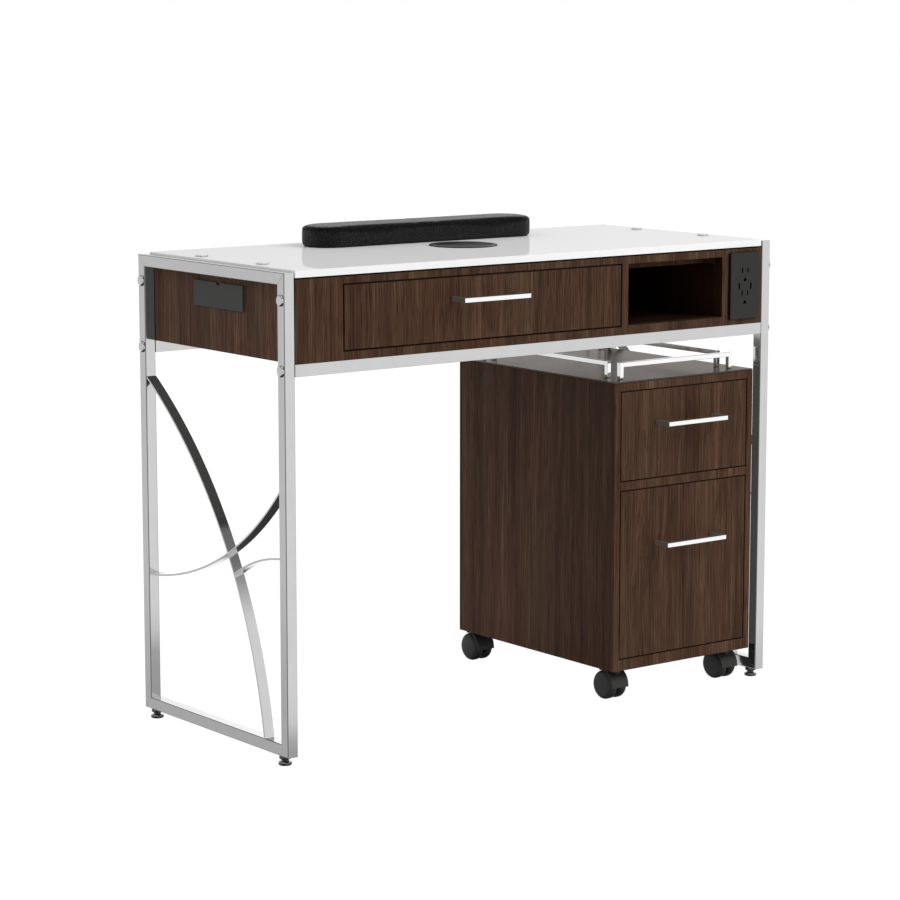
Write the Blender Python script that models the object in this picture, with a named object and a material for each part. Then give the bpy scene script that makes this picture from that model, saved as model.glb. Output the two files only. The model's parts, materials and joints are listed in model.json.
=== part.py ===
"""Manicure table: a steel framed desk with a glass top, a wood apron that holds one drawer, an open
cubby, a dust fan and a power outlet, and a rolling two drawer cart that parks under its right half.

Metres, +Z up, +X to the right. The drawers open towards -Y, where the technician sits. The origin is on
the floor, under the centre of the whole object's outline. Pieces are placed from the desk's own centre
plane, and the last line moves the whole tree along Y onto the origin.

A span is a (low, high) pair along one axis. Helper objects that cut or join a piece are hidden."""

import math

import bmesh
import bpy
from mathutils import Matrix, Vector

# ---- driving sizes -----------------------------------------------------------------------------
DESK_LENGTH = 1.000     # over both end frames
DESK_DEPTH = 0.418      # front to back over the posts
FRAME_TOP = 0.762       # 30 in
FRAME_BOTTOM = 0.015    # the feet hold the bottom rail this far off the floor
TUBE = 0.019            # square tube, 3/4 in
TUBE_WALL = 0.0015
GAP = 0.0003            # working gap between pieces that touch
OVERRUN = 0.010         # how far a cutter runs past a face that it opens

HALF_LENGTH, HALF_DEPTH = DESK_LENGTH / 2, DESK_DEPTH / 2
POST_Y = HALF_DEPTH - TUBE / 2
TUBE_X = HALF_LENGTH - TUBE / 2         # middle of an end frame's tube
RAIL_Z0 = 0.6035                        # long rails under the apron
RAIL_Z1 = RAIL_Z0 + TUBE
APRON_X = HALF_LENGTH - TUBE - GAP      # half length of the apron and the long rails
APRON_Z0, APRON_Z1 = RAIL_Z1 + GAP, 0.7510
GLASS_Z0, GLASS_Z1 = 0.7535, 0.7647
ON_GLASS = GLASS_Z1 + GAP               # underside of what rests on the glass

ORIGIN = (0, 0, 0)
SIDES = (("left", -1), ("right", 1))
ENDS = (("front", -1), ("back", 1))

for old in list(bpy.data.objects):
    bpy.data.objects.remove(old, do_unlink=True)


# ---- materials -----------------------------------------------------------------------------------
def material(name, colour, roughness, metallic=0.0):
    made = bpy.data.materials.new(name)
    made.use_nodes = True
    shader = made.node_tree.nodes["Principled BSDF"]
    shader.inputs["Base Color"].default_value = (*colour, 1.0)
    shader.inputs["Roughness"].default_value = roughness
    shader.inputs["Metallic"].default_value = metallic
    made.diffuse_color = (*colour, 1.0)
    return made


CHROME = material("polished_chrome", colour=(0.80, 0.80, 0.80), roughness=0.12, metallic=1.0)
WALNUT = material("walnut_laminate", colour=(0.075, 0.040, 0.026), roughness=0.45)
WOOD_INNER = material("drawer_box_board", colour=(0.060, 0.034, 0.024), roughness=0.55)
GLASS = material("white_glass", colour=(0.86, 0.87, 0.86), roughness=0.06)
VINYL = material("black_vinyl", colour=(0.018, 0.018, 0.018), roughness=0.42)
BLACK = material("black_plastic", colour=(0.030, 0.030, 0.029), roughness=0.45)
DARK_METAL = material("brushed_top_sheet", colour=(0.17, 0.15, 0.14), roughness=0.30, metallic=1.0)
STEEL = material("zinc_steel", colour=(0.55, 0.56, 0.57), roughness=0.35, metallic=1.0)


# ---- spans and flat points -----------------------------------------------------------------------
def around(centre, half):
    return (centre - half, centre + half)


def inset(span, amount):
    """Shortens a span at both ends; a negative amount lengthens it."""
    return (span[0] + amount, span[1] - amount)


def middle(span):
    return (span[0] + span[1]) / 2


def polar(radius, angle, centre=(0, 0)):
    return (centre[0] + radius * math.cos(angle), centre[1] + radius * math.sin(angle))


def circle(radius, sides, centre=(0, 0)):
    return [polar(radius, 2 * math.pi * i / sides, centre) for i in range(sides)]


def arc(radius, start, end, steps, centre=(0, 0)):
    """Points along an arc between two angles in degrees."""
    return [
        polar(radius, math.radians(start + (end - start) * i / steps), centre)
        for i in range(steps + 1)
    ]


def rectangle(u_span, v_span):
    (left, right), (low, high) = u_span, v_span
    return [(left, low), (right, low), (right, high), (left, high)]


def rounded(u_span, v_span, radius, steps):
    """A rectangle with round corners."""
    (left, right), (low, high) = inset(u_span, radius), inset(v_span, radius)
    corners = ((right, low, -90), (right, high, 0), (left, high, 90), (left, low, 180))
    return [
        point
        for u, v, start in corners
        for point in arc(radius, start, start + 90, steps, (u, v))
    ]


def staple(length, foot, outer, bar):
    """A bar at `outer` with a leg at each end reaching back to `foot`."""
    half = length / 2
    under = outer - bar if outer > foot else outer + bar
    return [
        (-half, foot), (-half + bar, foot), (-half + bar, under), (half - bar, under),
        (half - bar, foot), (half, foot), (half, outer), (-half, outer),
    ]


# ---- meshes --------------------------------------------------------------------------------------
def add_box(mesh, x_span, y_span, z_span):
    spans = (x_span, y_span, z_span)
    made = bmesh.ops.create_cube(mesh, size=1.0)["verts"]
    bmesh.ops.scale(mesh, vec=[high - low for low, high in spans], verts=made)
    bmesh.ops.translate(mesh, vec=[middle(span) for span in spans], verts=made)


def box_mesh(x_span, y_span, z_span, origin=ORIGIN):
    spans = zip((x_span, y_span, z_span), origin)
    mesh = bmesh.new()
    add_box(mesh, *[(low - place, high - place) for (low, high), place in spans])
    return mesh


def prism(loops, axis, start, end):
    """Extrudes a flat outline, with any holes, along an axis. Each loop is a list of (u, v): (y, z) for
    X, (x, z) for Y and (x, y) for Z."""
    mesh = bmesh.new()

    def point(u, v, along):
        return {"X": (along, u, v), "Y": (u, along, v), "Z": (u, v, along)}[axis]

    edges = []
    for loop in loops:
        ring = [mesh.verts.new(point(u, v, start)) for u, v in loop]
        edges += [mesh.edges.new((ring[i], ring[(i + 1) % len(ring)])) for i in range(len(ring))]
    if len(loops) == 1:
        mesh.faces.new(ring)
    else:
        bmesh.ops.triangle_fill(mesh, use_beauty=True, use_dissolve=False, edges=edges)
    flat = list(mesh.faces)
    region = flat + list({edge for face in flat for edge in face.edges})
    grown = bmesh.ops.extrude_face_region(mesh, geom=region)
    moved = [item for item in grown["geom"] if isinstance(item, bmesh.types.BMVert)]
    bmesh.ops.translate(mesh, vec=point(0, 0, end - start), verts=moved)
    return mesh


def lathe(profile, sides):
    """Turns (radius, height) points, bottom to top, about Z. Radius 0 closes on the axis."""
    mesh = bmesh.new()
    rings = []
    for radius, z in profile:
        points = [(0, 0)] if radius <= 1e-9 else circle(radius, sides)
        rings.append([mesh.verts.new((*point, z)) for point in points])
    for low, high in zip(rings, rings[1:]):
        for i in range(sides):
            j = (i + 1) % sides
            if len(low) == 1:
                mesh.faces.new((low[0], high[j], high[i]))
            elif len(high) == 1:
                mesh.faces.new((low[i], low[j], high[0]))
            else:
                mesh.faces.new((low[i], low[j], high[j], high[i]))
    return mesh


def ring_lathe(profile, sides):
    """Turns a closed (radius, height) outline that stays off the axis about Z."""
    mesh = bmesh.new()
    columns = [
        [mesh.verts.new((*polar(radius, 2 * math.pi * i / sides), z)) for radius, z in profile]
        for i in range(sides)
    ]
    for i in range(sides):
        here, there = columns[i], columns[(i + 1) % sides]
        for j in range(len(profile)):
            k = (j + 1) % len(profile)
            mesh.faces.new((here[j], there[j], there[k], here[k]))
    return mesh


def cylinder(radius, bottom, top, sides):
    return lathe([(0, bottom), (radius, bottom), (radius, top), (0, top)], sides)


def turned(mesh, sign=1):
    """Lays a shape turned about Z along +X, or along -X for a sign of -1."""
    rotation = Matrix.Rotation(math.radians(90 * sign), 4, "Y")
    bmesh.ops.transform(mesh, matrix=rotation, verts=mesh.verts)
    return mesh


# ---- objects -------------------------------------------------------------------------------------
WORLD = {}   # object name: its place from the desk's centre plane


def placed(made, at, parent):
    """Links an object and puts it at a place under a parent that is only shifted."""
    bpy.context.scene.collection.objects.link(made)
    at = Vector(at)
    WORLD[made.name] = at
    if parent is None:
        made.location = at
    else:
        made.parent = parent
        made.location = at - WORLD[parent.name]
    return made


def empty(name, at, parent):
    return placed(bpy.data.objects.new(name, None), at, parent)


ROOT = empty("manicure_table", ORIGIN, None)


def mesh_object(name, mesh, skin, at=ORIGIN, parent=ROOT, smooth=False):
    bmesh.ops.recalc_face_normals(mesh, faces=mesh.faces)
    data = bpy.data.meshes.new(name)
    mesh.to_mesh(data)
    mesh.free()
    if skin is not None:
        data.materials.append(skin)
    if smooth:
        data.shade_smooth()
        data.set_sharp_from_angle(angle=math.radians(32))
    return placed(bpy.data.objects.new(name, data), at, parent)


def combine(operation, target, name, mesh, at, parent):
    helper = mesh_object(name, mesh, None, at, parent)
    helper.hide_render = True
    helper.display_type = "WIRE"
    modifier = target.modifiers.new(name, "BOOLEAN")
    modifier.operation = operation
    modifier.solver = "EXACT"
    modifier.object = helper


def cut(target, name, mesh, at=ORIGIN, parent=ROOT):
    combine("DIFFERENCE", target, name, mesh, at, parent)


def join(target, name, mesh, at=ORIGIN, parent=ROOT):
    combine("UNION", target, name, mesh, at, parent)


def cut_box(target, name, x_span, y_span, z_span, parent=ROOT):
    """Cuts a box whose helper shares the target's origin."""
    at = WORLD[target.name]
    cut(target, name, box_mesh(x_span, y_span, z_span, at), at, parent)


def box(name, x_span, y_span, z_span, skin, parent=ROOT):
    """A board or bar, with its origin in its middle."""
    centre = (middle(x_span), middle(y_span), middle(z_span))
    return mesh_object(name, box_mesh(x_span, y_span, z_span, centre), skin, centre, parent)


def bevel_edges(target, width, segments):
    modifier = target.modifiers.new("edge", "BEVEL")
    modifier.width = width
    modifier.segments = segments
    modifier.limit_method = "ANGLE"
    return modifier


# ---- end frames, rails, bolts and feet -----------------------------------------------------------
RAIL_PLUG = 0.015                   # threaded plug welded in each end of a long rail
RAIL_THREAD_DEPTH = 0.020
BOLT_Z_UPPER, BOLT_Z_LOWER = 0.720, (RAIL_Z0 + RAIL_Z1) / 2
BOLT_LEVELS = (("upper", BOLT_Z_UPPER), ("lower", BOLT_Z_LOWER))
BOLT_CAP_R, BOLT_CAP_H = 0.009, 0.0042
BOLT_CAP_RIM = 0.0012               # height of the cap's straight rim
BOLT_R, BOLT_HOLE_R = 0.0030, 0.0034
BOLT_IN = 0.0135                    # shank length past the tube
FOOT_Y, FOOT_R = 0.187, 0.0105
FOOT_NECK_R, FOOT_COLLAR_R = 0.0060, 0.0092
FOOT_STEM_R, FOOT_STEM_TOP = 0.0040, 0.0310
FOOT_HOLE_R, FOOT_HOLE_DEPTH = 0.0044, 0.004


def bolt_hole(target, name, at, reach):
    """A hole along X that reaches equally far each way from its place."""
    cut(target, name, turned(cylinder(BOLT_HOLE_R, -reach, reach, 8)), at)


def bolt_sockets(target, suffix, depth, y, z):
    """A bolt hole in the left and right end of a long piece."""
    for side, sign in SIDES:
        bolt_hole(target, f"{target.name}_{side}_{suffix}", (sign * APRON_X, y, z), depth)


def end_frame(side, sign):
    """A closed loop of square tube standing on its feet: two posts, a top rail and a bottom rail."""
    x_span = sorted((sign * HALF_LENGTH, sign * (HALF_LENGTH - TUBE)))
    y_span, z_span = around(0, HALF_DEPTH), (FRAME_BOTTOM, FRAME_TOP)

    def loop(depth):
        return rectangle(inset(y_span, depth), inset(z_span, depth))

    made = mesh_object(f"{side}_end_frame", prism([loop(0), loop(TUBE)], "X", *x_span), CHROME)
    bore = prism([loop(TUBE_WALL), loop(TUBE - TUBE_WALL)], "X", *inset(x_span, TUBE_WALL))
    cut(made, f"{side}_frame_bore", bore)
    for where, y_sign in ENDS:
        hole = cylinder(FOOT_HOLE_R, -FOOT_HOLE_DEPTH, FOOT_HOLE_DEPTH, 10)
        at = (sign * TUBE_X, y_sign * FOOT_Y, FRAME_BOTTOM)
        cut(made, f"{side}_{where}_foot_hole", hole, at)
    for where, y_sign in ENDS:
        for level, z in BOLT_LEVELS:
            at = (sign * TUBE_X, y_sign * POST_Y, z)
            bolt_hole(made, f"{side}_{where}_{level}_bolt_hole", at, TUBE)


def long_rail(where, sign):
    """A rail of square tube between the end frames, hollow between its end plugs."""
    name = f"{where}_rail"
    x_span = around(0, APRON_X)
    y_span = around(sign * POST_Y, TUBE / 2)
    z_span = (RAIL_Z0, RAIL_Z1)
    made = box(name, x_span, y_span, z_span, CHROME)
    bore = (inset(x_span, RAIL_PLUG), inset(y_span, TUBE_WALL), inset(z_span, TUBE_WALL))
    cut_box(made, f"{name}_bore", *bore)
    bolt_sockets(made, "thread", RAIL_THREAD_DEPTH, sign * POST_Y, BOLT_Z_LOWER)


def frame_bolt(name, sign, y, z):
    """A domed cap bolt whose shank passes through the tube."""
    tip = -TUBE - BOLT_IN - GAP
    profile = [(0, tip), (BOLT_R, tip), (BOLT_R, 0), (BOLT_CAP_R, 0)]
    for degrees in (0, 40):
        across, up = polar(1, math.radians(degrees))
        profile.append((BOLT_CAP_R * across, BOLT_CAP_RIM + (BOLT_CAP_H - BOLT_CAP_RIM) * up))
    profile.append((0, BOLT_CAP_H))
    at = (sign * (HALF_LENGTH + GAP), y, z)
    mesh_object(name, turned(lathe(profile, 12), sign), CHROME, at, smooth=True)


def levelling_foot(name, x, y):
    """A turning pad on a threaded stem. Its origin is on the stem's axis, at the floor."""
    pivot = empty(f"{name}_axis", (x, y, 0), ROOT)
    top = FRAME_BOTTOM - GAP
    profile = [
        (0, 0), (FOOT_R, 0), (FOOT_R, 0.0055), (FOOT_NECK_R, 0.0070), (FOOT_NECK_R, 0.0095),
        (FOOT_COLLAR_R, 0.0105), (FOOT_COLLAR_R, top), (FOOT_STEM_R, top),
        (FOOT_STEM_R, FOOT_STEM_TOP), (0, FOOT_STEM_TOP),
    ]
    mesh_object(name, lathe(profile, 16), STEEL, (x, y, 0), pivot, smooth=True)


# ---- curved braces -------------------------------------------------------------------------------
# Centre y, centre z, radius of the arcs in each end frame.
LONG_ARC = (0.6410, -0.0879, 0.7935)    # from the back post down to the bottom rail
CROSS_ARC = (0.2308, 0.8065, 0.5671)    # from the front post to the back post, over the long arc
SHORT_ARC = (-0.2202, 0.0261, 0.2993)   # from the front post to the long arc
BAR_T = 0.003
LONG_ARC_BACK_CLEAR, LONG_ARC_RAIL_CLEAR = 0.0012, 0.0007   # beyond the working gap
CROSS_ARC_FRONT_CLEAR = 0.0012
SHORT_ARC_END_Y = -0.0615


def strip(bend, start, end, x_span, steps):
    """A flat bar bent to an arc in the YZ plane, between two angles in degrees."""
    *centre, radius = bend
    outer = arc(radius + BAR_T / 2, start, end, steps, centre)
    inner = arc(radius - BAR_T / 2, start, end, steps, centre)
    x0, x1 = x_span
    mesh = bmesh.new()
    sections = []
    for out, into in zip(outer, inner):
        corners = ((x0, *out), (x1, *out), (x1, *into), (x0, *into))
        sections.append([mesh.verts.new(corner) for corner in corners])
    for here, there in zip(sections, sections[1:]):
        for i in range(4):
            j = (i + 1) % 4
            mesh.faces.new((here[i], here[j], there[j], there[i]))
    mesh.faces.new(list(reversed(sections[0])))
    mesh.faces.new(sections[-1])
    return mesh


def angle_at_y(bend, y, upper):
    """The angle, in degrees, where the upper or lower part of an arc's circle crosses y."""
    centre_y, _, radius = bend
    rise = math.sqrt(radius * radius - (y - centre_y) ** 2) * (1 if upper else -1)
    return math.degrees(math.atan2(rise, y - centre_y))


def front_angle_at_z(bend, z):
    """The angle, in degrees, where the front part of an arc's circle crosses z."""
    _, centre_z, radius = bend
    reach = -math.sqrt(radius * radius - (z - centre_z) ** 2)
    return math.degrees(math.atan2(z - centre_z, reach))


def curved_brace(side, sign):
    """Three flat bars bent to arcs and welded where they cross."""
    x_span = sorted((sign * (HALF_LENGTH - GAP), sign * (HALF_LENGTH - TUBE + GAP)))
    edge = HALF_DEPTH - TUBE - GAP
    rail_top = FRAME_BOTTOM + TUBE + GAP
    long_bar = strip(
        LONG_ARC,
        angle_at_y(LONG_ARC, edge - LONG_ARC_BACK_CLEAR, upper=True),
        front_angle_at_z(LONG_ARC, rail_top + LONG_ARC_RAIL_CLEAR),
        x_span,
        steps=16,
    )
    cross_bar = strip(
        CROSS_ARC,
        angle_at_y(CROSS_ARC, -edge + CROSS_ARC_FRONT_CLEAR, upper=False),
        angle_at_y(CROSS_ARC, edge, upper=False),
        x_span,
        steps=12,
    )
    short_bar = strip(
        SHORT_ARC,
        angle_at_y(SHORT_ARC, -edge, upper=True),
        angle_at_y(SHORT_ARC, SHORT_ARC_END_Y, upper=True),
        x_span,
        steps=6,
    )
    made = mesh_object(f"{side}_curved_brace", long_bar, CHROME, smooth=True)
    join(made, f"{side}_brace_b", cross_bar)
    join(made, f"{side}_brace_c", short_bar)


for side, sign in SIDES:
    end_frame(side, sign)
    curved_brace(side, sign)
    for where, y_sign in ENDS:
        for level, z in BOLT_LEVELS:
            frame_bolt(f"bolt_{side}_{where}_{level}", sign, y_sign * POST_Y, z)
        levelling_foot(f"levelling_foot_{side}_{where}", sign * TUBE_X, y_sign * FOOT_Y)
for where, sign in ENDS:
    long_rail(where, sign)

# ---- apron ---------------------------------------------------------------------------------------
BOARD = 0.018           # front and back boards
PANEL = 0.012           # ends, bottom and top
APRON_SOCKET_DEPTH = 0.0155
DRAWER_X, DRAWER_Z = (-0.3900, 0.1655), (0.6375, 0.7383)
REVEAL = 0.0015         # round the desk drawer's front
CUBBY_X, CUBBY_Z = (0.1815, 0.3895), (0.6377, 0.7386)
CUBBY_BACK_Y, CUBBY_WALL = 0.105, 0.005
CUBBY_CUT_TOP = 0.760   # above the tray, so that it is open at the top
CROSSBAR_Y, CROSSBAR_DEPTH, CROSSBAR_Z0 = -0.1644, 0.016, 0.7260
CROSSBAR_BITE = 0.002   # how far the crossbar runs into the tray's sides
CROSSBAR_DROP = 0.0001  # from the tray's top edge
OUTLET_X, OUTLET_Z = 0.4362, 0.6888
OUTLET_HOLE_HALF_W, OUTLET_HOLE_HALF_H = 0.0235, 0.0355
TRAY_HOLE_Y, TRAY_HOLE_Z = (-0.068, 0.068), (0.6915, 0.7270)
VENT_HOLE_R = 0.0530
FIXING_X, FIXING_Y, FIXING_HOLE_R = 0.4562, 0.0867, 0.0036
FIXING_SOCKET_DEPTH = 0.009

FRONT_IN = -HALF_DEPTH + BOARD      # back face of the front board
BACK_IN = HALF_DEPTH - BOARD
INNER_X = APRON_X - PANEL - GAP
APRON_WIDE, APRON_TALL = (-APRON_X, APRON_X), (APRON_Z0, APRON_Z1)
BETWEEN_BOARDS = (FRONT_IN + GAP, BACK_IN - GAP)
FLOOR_TOP, CEILING = APRON_Z0 + PANEL, APRON_Z1 - PANEL
FIXINGS = [
    (f"{side}_{where}", x_sign * FIXING_X, y_sign * FIXING_Y)
    for side, x_sign in SIDES
    for where, y_sign in ENDS
]


def apron_face_frame():
    """The front board, with openings for the drawer, the cubby and the outlet."""
    loops = [
        rectangle(APRON_WIDE, APRON_TALL),
        rectangle(inset(DRAWER_X, -REVEAL), inset(DRAWER_Z, -REVEAL)),
        rectangle(CUBBY_X, CUBBY_Z),
        rectangle(around(OUTLET_X, OUTLET_HOLE_HALF_W), around(OUTLET_Z, OUTLET_HOLE_HALF_H)),
    ]
    made = mesh_object("apron_face_frame", prism(loops, "Y", -HALF_DEPTH, FRONT_IN), WALNUT)
    bolt_sockets(made, "socket", APRON_SOCKET_DEPTH, -POST_Y, BOLT_Z_UPPER)


def apron_back_panel():
    made = box("apron_back_panel", APRON_WIDE, (BACK_IN, HALF_DEPTH), APRON_TALL, WALNUT)
    bolt_sockets(made, "socket", APRON_SOCKET_DEPTH, POST_Y, BOLT_Z_UPPER)


def apron_left_panel():
    """The left end, with an opening for the filter tray."""
    loops = [rectangle(BETWEEN_BOARDS, APRON_TALL), rectangle(TRAY_HOLE_Y, TRAY_HOLE_Z)]
    mesh_object("apron_left_panel", prism(loops, "X", -APRON_X, -APRON_X + PANEL), WALNUT)


def apron_top_panel():
    """The panel under the glass, with a hole for the vent and sockets for the glass fixings."""
    loops = [rectangle((-INNER_X, INNER_X), BETWEEN_BOARDS), circle(VENT_HOLE_R, 24)]
    made = mesh_object("apron_top_panel", prism(loops, "Z", CEILING, APRON_Z1), WALNUT)
    for tag, x, y in FIXINGS:
        socket = cylinder(FIXING_HOLE_R, -FIXING_SOCKET_DEPTH, FIXING_SOCKET_DEPTH, 8)
        cut(made, f"disc_socket_{tag}", socket, (x, y, APRON_Z1))


def cubby_box():
    """A tray with a back, open at the front and closed above by the apron's top panel. A crossbar is
    glued between its sides, set back behind the face frame."""
    made = box(
        "cubby_box",
        inset(CUBBY_X, -CUBBY_WALL),
        (FRONT_IN + GAP, CUBBY_BACK_Y + CUBBY_WALL),
        (FLOOR_TOP + GAP, CEILING - GAP),
        WALNUT,
    )
    space_y = (FRONT_IN - OVERRUN, CUBBY_BACK_Y)
    cut_box(made, "cubby_space", CUBBY_X, space_y, (CUBBY_Z[0], CUBBY_CUT_TOP))
    crossbar = box_mesh(
        inset(CUBBY_X, -CROSSBAR_BITE),
        (CROSSBAR_Y, CROSSBAR_Y + CROSSBAR_DEPTH),
        (CROSSBAR_Z0, CEILING - GAP - CROSSBAR_DROP),
    )
    join(made, "cubby_crossbar", crossbar)


apron_face_frame()
apron_back_panel()
apron_left_panel()
box("apron_right_panel", (APRON_X - PANEL, APRON_X), BETWEEN_BOARDS, APRON_TALL, WALNUT)
box("apron_bottom_panel", (-INNER_X, INNER_X), BETWEEN_BOARDS, (APRON_Z0, FLOOR_TOP), WALNUT)
apron_top_panel()
cubby_box()

# ---- power outlet --------------------------------------------------------------------------------
OUTLET_W, OUTLET_H, OUTLET_T = 0.0650, 0.1125, 0.0064
OUTLET_BODY_HALF_W, OUTLET_BODY_HALF_H = 0.0228, 0.0348
OUTLET_BODY_BACK_Y = -0.168
OUTLET_BODY_BITE = 0.002        # how far the body runs into the cover plate
SLOT_OVERRUN, SLOT_PAST_PLATE = 0.002, 0.006
# Each row: x from the outlet's middle, centre z, half width, half height.
OUTLET_SLOTS = (
    # upper socket
    (-0.00635, 0.7148, 0.0009, 0.0036), (0.00635, 0.7148, 0.0009, 0.0030),
    (0.0, 0.6991, 0.0021, 0.0021),
    # lower socket
    (-0.00635, 0.6764, 0.0009, 0.0036), (0.00635, 0.6764, 0.0009, 0.0030),
    (0.0, 0.6608, 0.0021, 0.0021),
    # charging ports
    (-0.0133, 0.6882, 0.0012, 0.0046), (0.0133, 0.6882, 0.0012, 0.0046),
)


def power_outlet():
    """A duplex outlet with a plain cover plate: two sockets and, between them, two charging ports."""
    plate_back = -HALF_DEPTH - GAP
    plate_front = plate_back - OUTLET_T
    plate = box_mesh(
        around(OUTLET_X, OUTLET_W / 2), (plate_front, plate_back), around(OUTLET_Z, OUTLET_H / 2)
    )
    made = mesh_object("power_outlet", plate, BLACK)
    bevel_edges(made, width=0.0015, segments=1)
    body = box_mesh(
        around(OUTLET_X, OUTLET_BODY_HALF_W),
        (plate_back - OUTLET_BODY_BITE, OUTLET_BODY_BACK_Y),
        around(OUTLET_Z, OUTLET_BODY_HALF_H),
    )
    join(made, "power_outlet_body", body)
    slots = bmesh.new()
    slot_y = (plate_front - SLOT_OVERRUN, plate_back + SLOT_PAST_PLATE)
    for offset, z, half_width, half_height in OUTLET_SLOTS:
        add_box(slots, around(OUTLET_X + offset, half_width), slot_y, around(z, half_height))
    cut(made, "power_outlet_slots", slots)


power_outlet()

# ---- drawers and pulls ---------------------------------------------------------------------------
PULL_LENGTH, PULL_BAR, PULL_OUT = 0.132, 0.0075, 0.0355
DRAWER_WALL, DRAWER_FLOOR = 0.010, 0.005
DRAWER_BOX_INSET = 0.0125       # each side of a drawer box, from the ends of its front
DESK_BOX_BACK_Y, DESK_BOX_Z = 0.150, (0.6400, 0.6860)
DESK_PULL_SHIFT, DESK_PULL_Z = -0.0062, 0.7040    # shift along X from the drawer's middle


def pull(name, x, z, face_y, parent):
    """A square bar on two legs, one at each end."""
    outline = staple(PULL_LENGTH, foot=-GAP, outer=-PULL_OUT, bar=PULL_BAR)
    mesh = prism([outline], "Z", -PULL_BAR / 2, PULL_BAR / 2)
    mesh_object(name, mesh, CHROME, (x, face_y, z), parent)


def drawer_box(name, x_span, y_span, z_span, parent):
    """A tray open at the top."""
    made = box(name, x_span, y_span, z_span, WOOD_INNER, parent)
    space_z = (z_span[0] + DRAWER_FLOOR, z_span[1] + OVERRUN)
    x_inner, y_inner = inset(x_span, DRAWER_WALL), inset(y_span, DRAWER_WALL)
    cut_box(made, f"{name}_space", x_inner, y_inner, space_z, parent)


def drawer(name, x_span, z_span, face_y, front_t, box_back, box_z, pull_shift, pull_z, parent):
    """A front, a box behind it and a pull, all under one sliding empty."""
    slide = empty(f"{name}_slide", (middle(x_span), face_y, middle(z_span)), parent)
    front_back = face_y + front_t
    box(f"{name}_front", x_span, (face_y, front_back), z_span, WALNUT, slide)
    box_x, box_y = inset(x_span, DRAWER_BOX_INSET), (front_back + GAP, box_back)
    drawer_box(f"{name}_box", box_x, box_y, box_z, slide)
    pull(f"{name}_pull", middle(x_span) + pull_shift, pull_z, face_y, slide)


drawer(
    "desk_drawer",
    DRAWER_X,
    DRAWER_Z,
    face_y=-HALF_DEPTH,
    front_t=BOARD,
    box_back=DESK_BOX_BACK_Y,
    box_z=DESK_BOX_Z,
    pull_shift=DESK_PULL_SHIFT,
    pull_z=DESK_PULL_Z,
    parent=ROOT,
)

# ---- glass top and its fixings -------------------------------------------------------------------
GLASS_X, GLASS_CORNER = 0.4800, 0.006
GLASS_VENT_HOLE_R = VENT_HOLE_R - 0.0002
DISC_R, DISC_T = 0.010, 0.0024
FIXING_STEM_R, FIXING_STEM_LENGTH = 0.0030, 0.0205


def glass_top():
    loops = [rounded(around(0, GLASS_X), around(0, HALF_DEPTH), GLASS_CORNER, 3)]
    loops.append(circle(GLASS_VENT_HOLE_R, 24))
    loops += [circle(FIXING_HOLE_R, 8, (x, y)) for _, x, y in FIXINGS]
    mesh_object("glass_top", prism(loops, "Z", GLASS_Z0, GLASS_Z1), GLASS)


def glass_fixing(tag, x, y):
    """A flat disc on a stem that runs down through the glass."""
    profile = [
        (0, -FIXING_STEM_LENGTH), (FIXING_STEM_R, -FIXING_STEM_LENGTH), (FIXING_STEM_R, 0),
        (DISC_R, 0), (DISC_R, DISC_T), (0, DISC_T),
    ]
    mesh_object(f"glass_fixing_{tag}", lathe(profile, 16), CHROME, (x, y, ON_GLASS), smooth=True)


glass_top()
for fixing in FIXINGS:
    glass_fixing(*fixing)

# ---- vent grille ---------------------------------------------------------------------------------
VENT_R, VENT_NECK_R, VENT_NECK_Z0 = 0.057, 0.0515, 0.7415
VENT_T = 0.002              # of the neck and the flange
VENT_BAR_PITCH, VENT_BAR_HALF = 0.0130, 0.0014
VENT_SPINE_HALF = 0.0018
VENT_REACH_R = VENT_NECK_R - 0.0008     # bars and spine end inside the neck's wall


def vent_grille():
    """A round grille: a flange on the glass, a neck down through the glass and the top panel, and bars
    along X joined by a spine along Y."""
    top = ON_GLASS + VENT_T
    bore_r = VENT_NECK_R - VENT_T
    outline = [
        (bore_r, VENT_NECK_Z0), (VENT_NECK_R, VENT_NECK_Z0), (VENT_NECK_R, ON_GLASS),
        (VENT_R, ON_GLASS), (VENT_R, top), (bore_r, top),
    ]
    made = mesh_object("vent_grille", ring_lathe(outline, 32), BLACK, smooth=True)
    spine_z = (ON_GLASS - 0.0006, top - 0.0008)
    spine = box_mesh(around(0, VENT_SPINE_HALF), around(0, VENT_REACH_R), spine_z)
    join(made, "vent_spine", spine)
    bars = bmesh.new()
    bar_z = (ON_GLASS + 0.0001, top - 0.0004)
    for i in range(-3, 4):
        y = i * VENT_BAR_PITCH
        reach = math.sqrt(VENT_REACH_R ** 2 - (abs(y) + 0.0015) ** 2)
        add_box(bars, around(0, reach), around(y, VENT_BAR_HALF), bar_z)
    join(made, "vent_bars", bars)


vent_grille()

# ---- fan -----------------------------------------------------------------------------------------
DUCT_HALF, DUCT_WALL = 0.073, 0.002
DUCT_Z0, DUCT_Z1 = 0.6885, 0.7385
INLET_R, INLET_CUT = 0.0480, 0.006      # the cut reaches this far above and below the duct's top
MOTOR_R, MOTOR_Z0, MOTOR_Z1 = 0.020, DUCT_Z0 + 0.0005, 0.6960
SHAFT_R, SHAFT_TOP = 0.0025, 0.7150
ROTOR_Z = 0.7100
BLADES, BLADE_HALF_T, BLADE_STEPS = 7, 0.0009, 3
BLADE_LEAN = 0.55                       # radians the blade turns from hub to tip
HUB_R, BLADE_TIP_R = 0.014, 0.0440
# Heights from ROTOR_Z.
BLADE_Z = (-0.0110, 0.0120)
BACK_PLATE_R, BACK_PLATE_Z = 0.0445, (-0.0130, -0.0105)
ROTOR_BORE_R, ROTOR_BORE_Z = 0.0030, (-0.0200, 0.0070)


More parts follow.
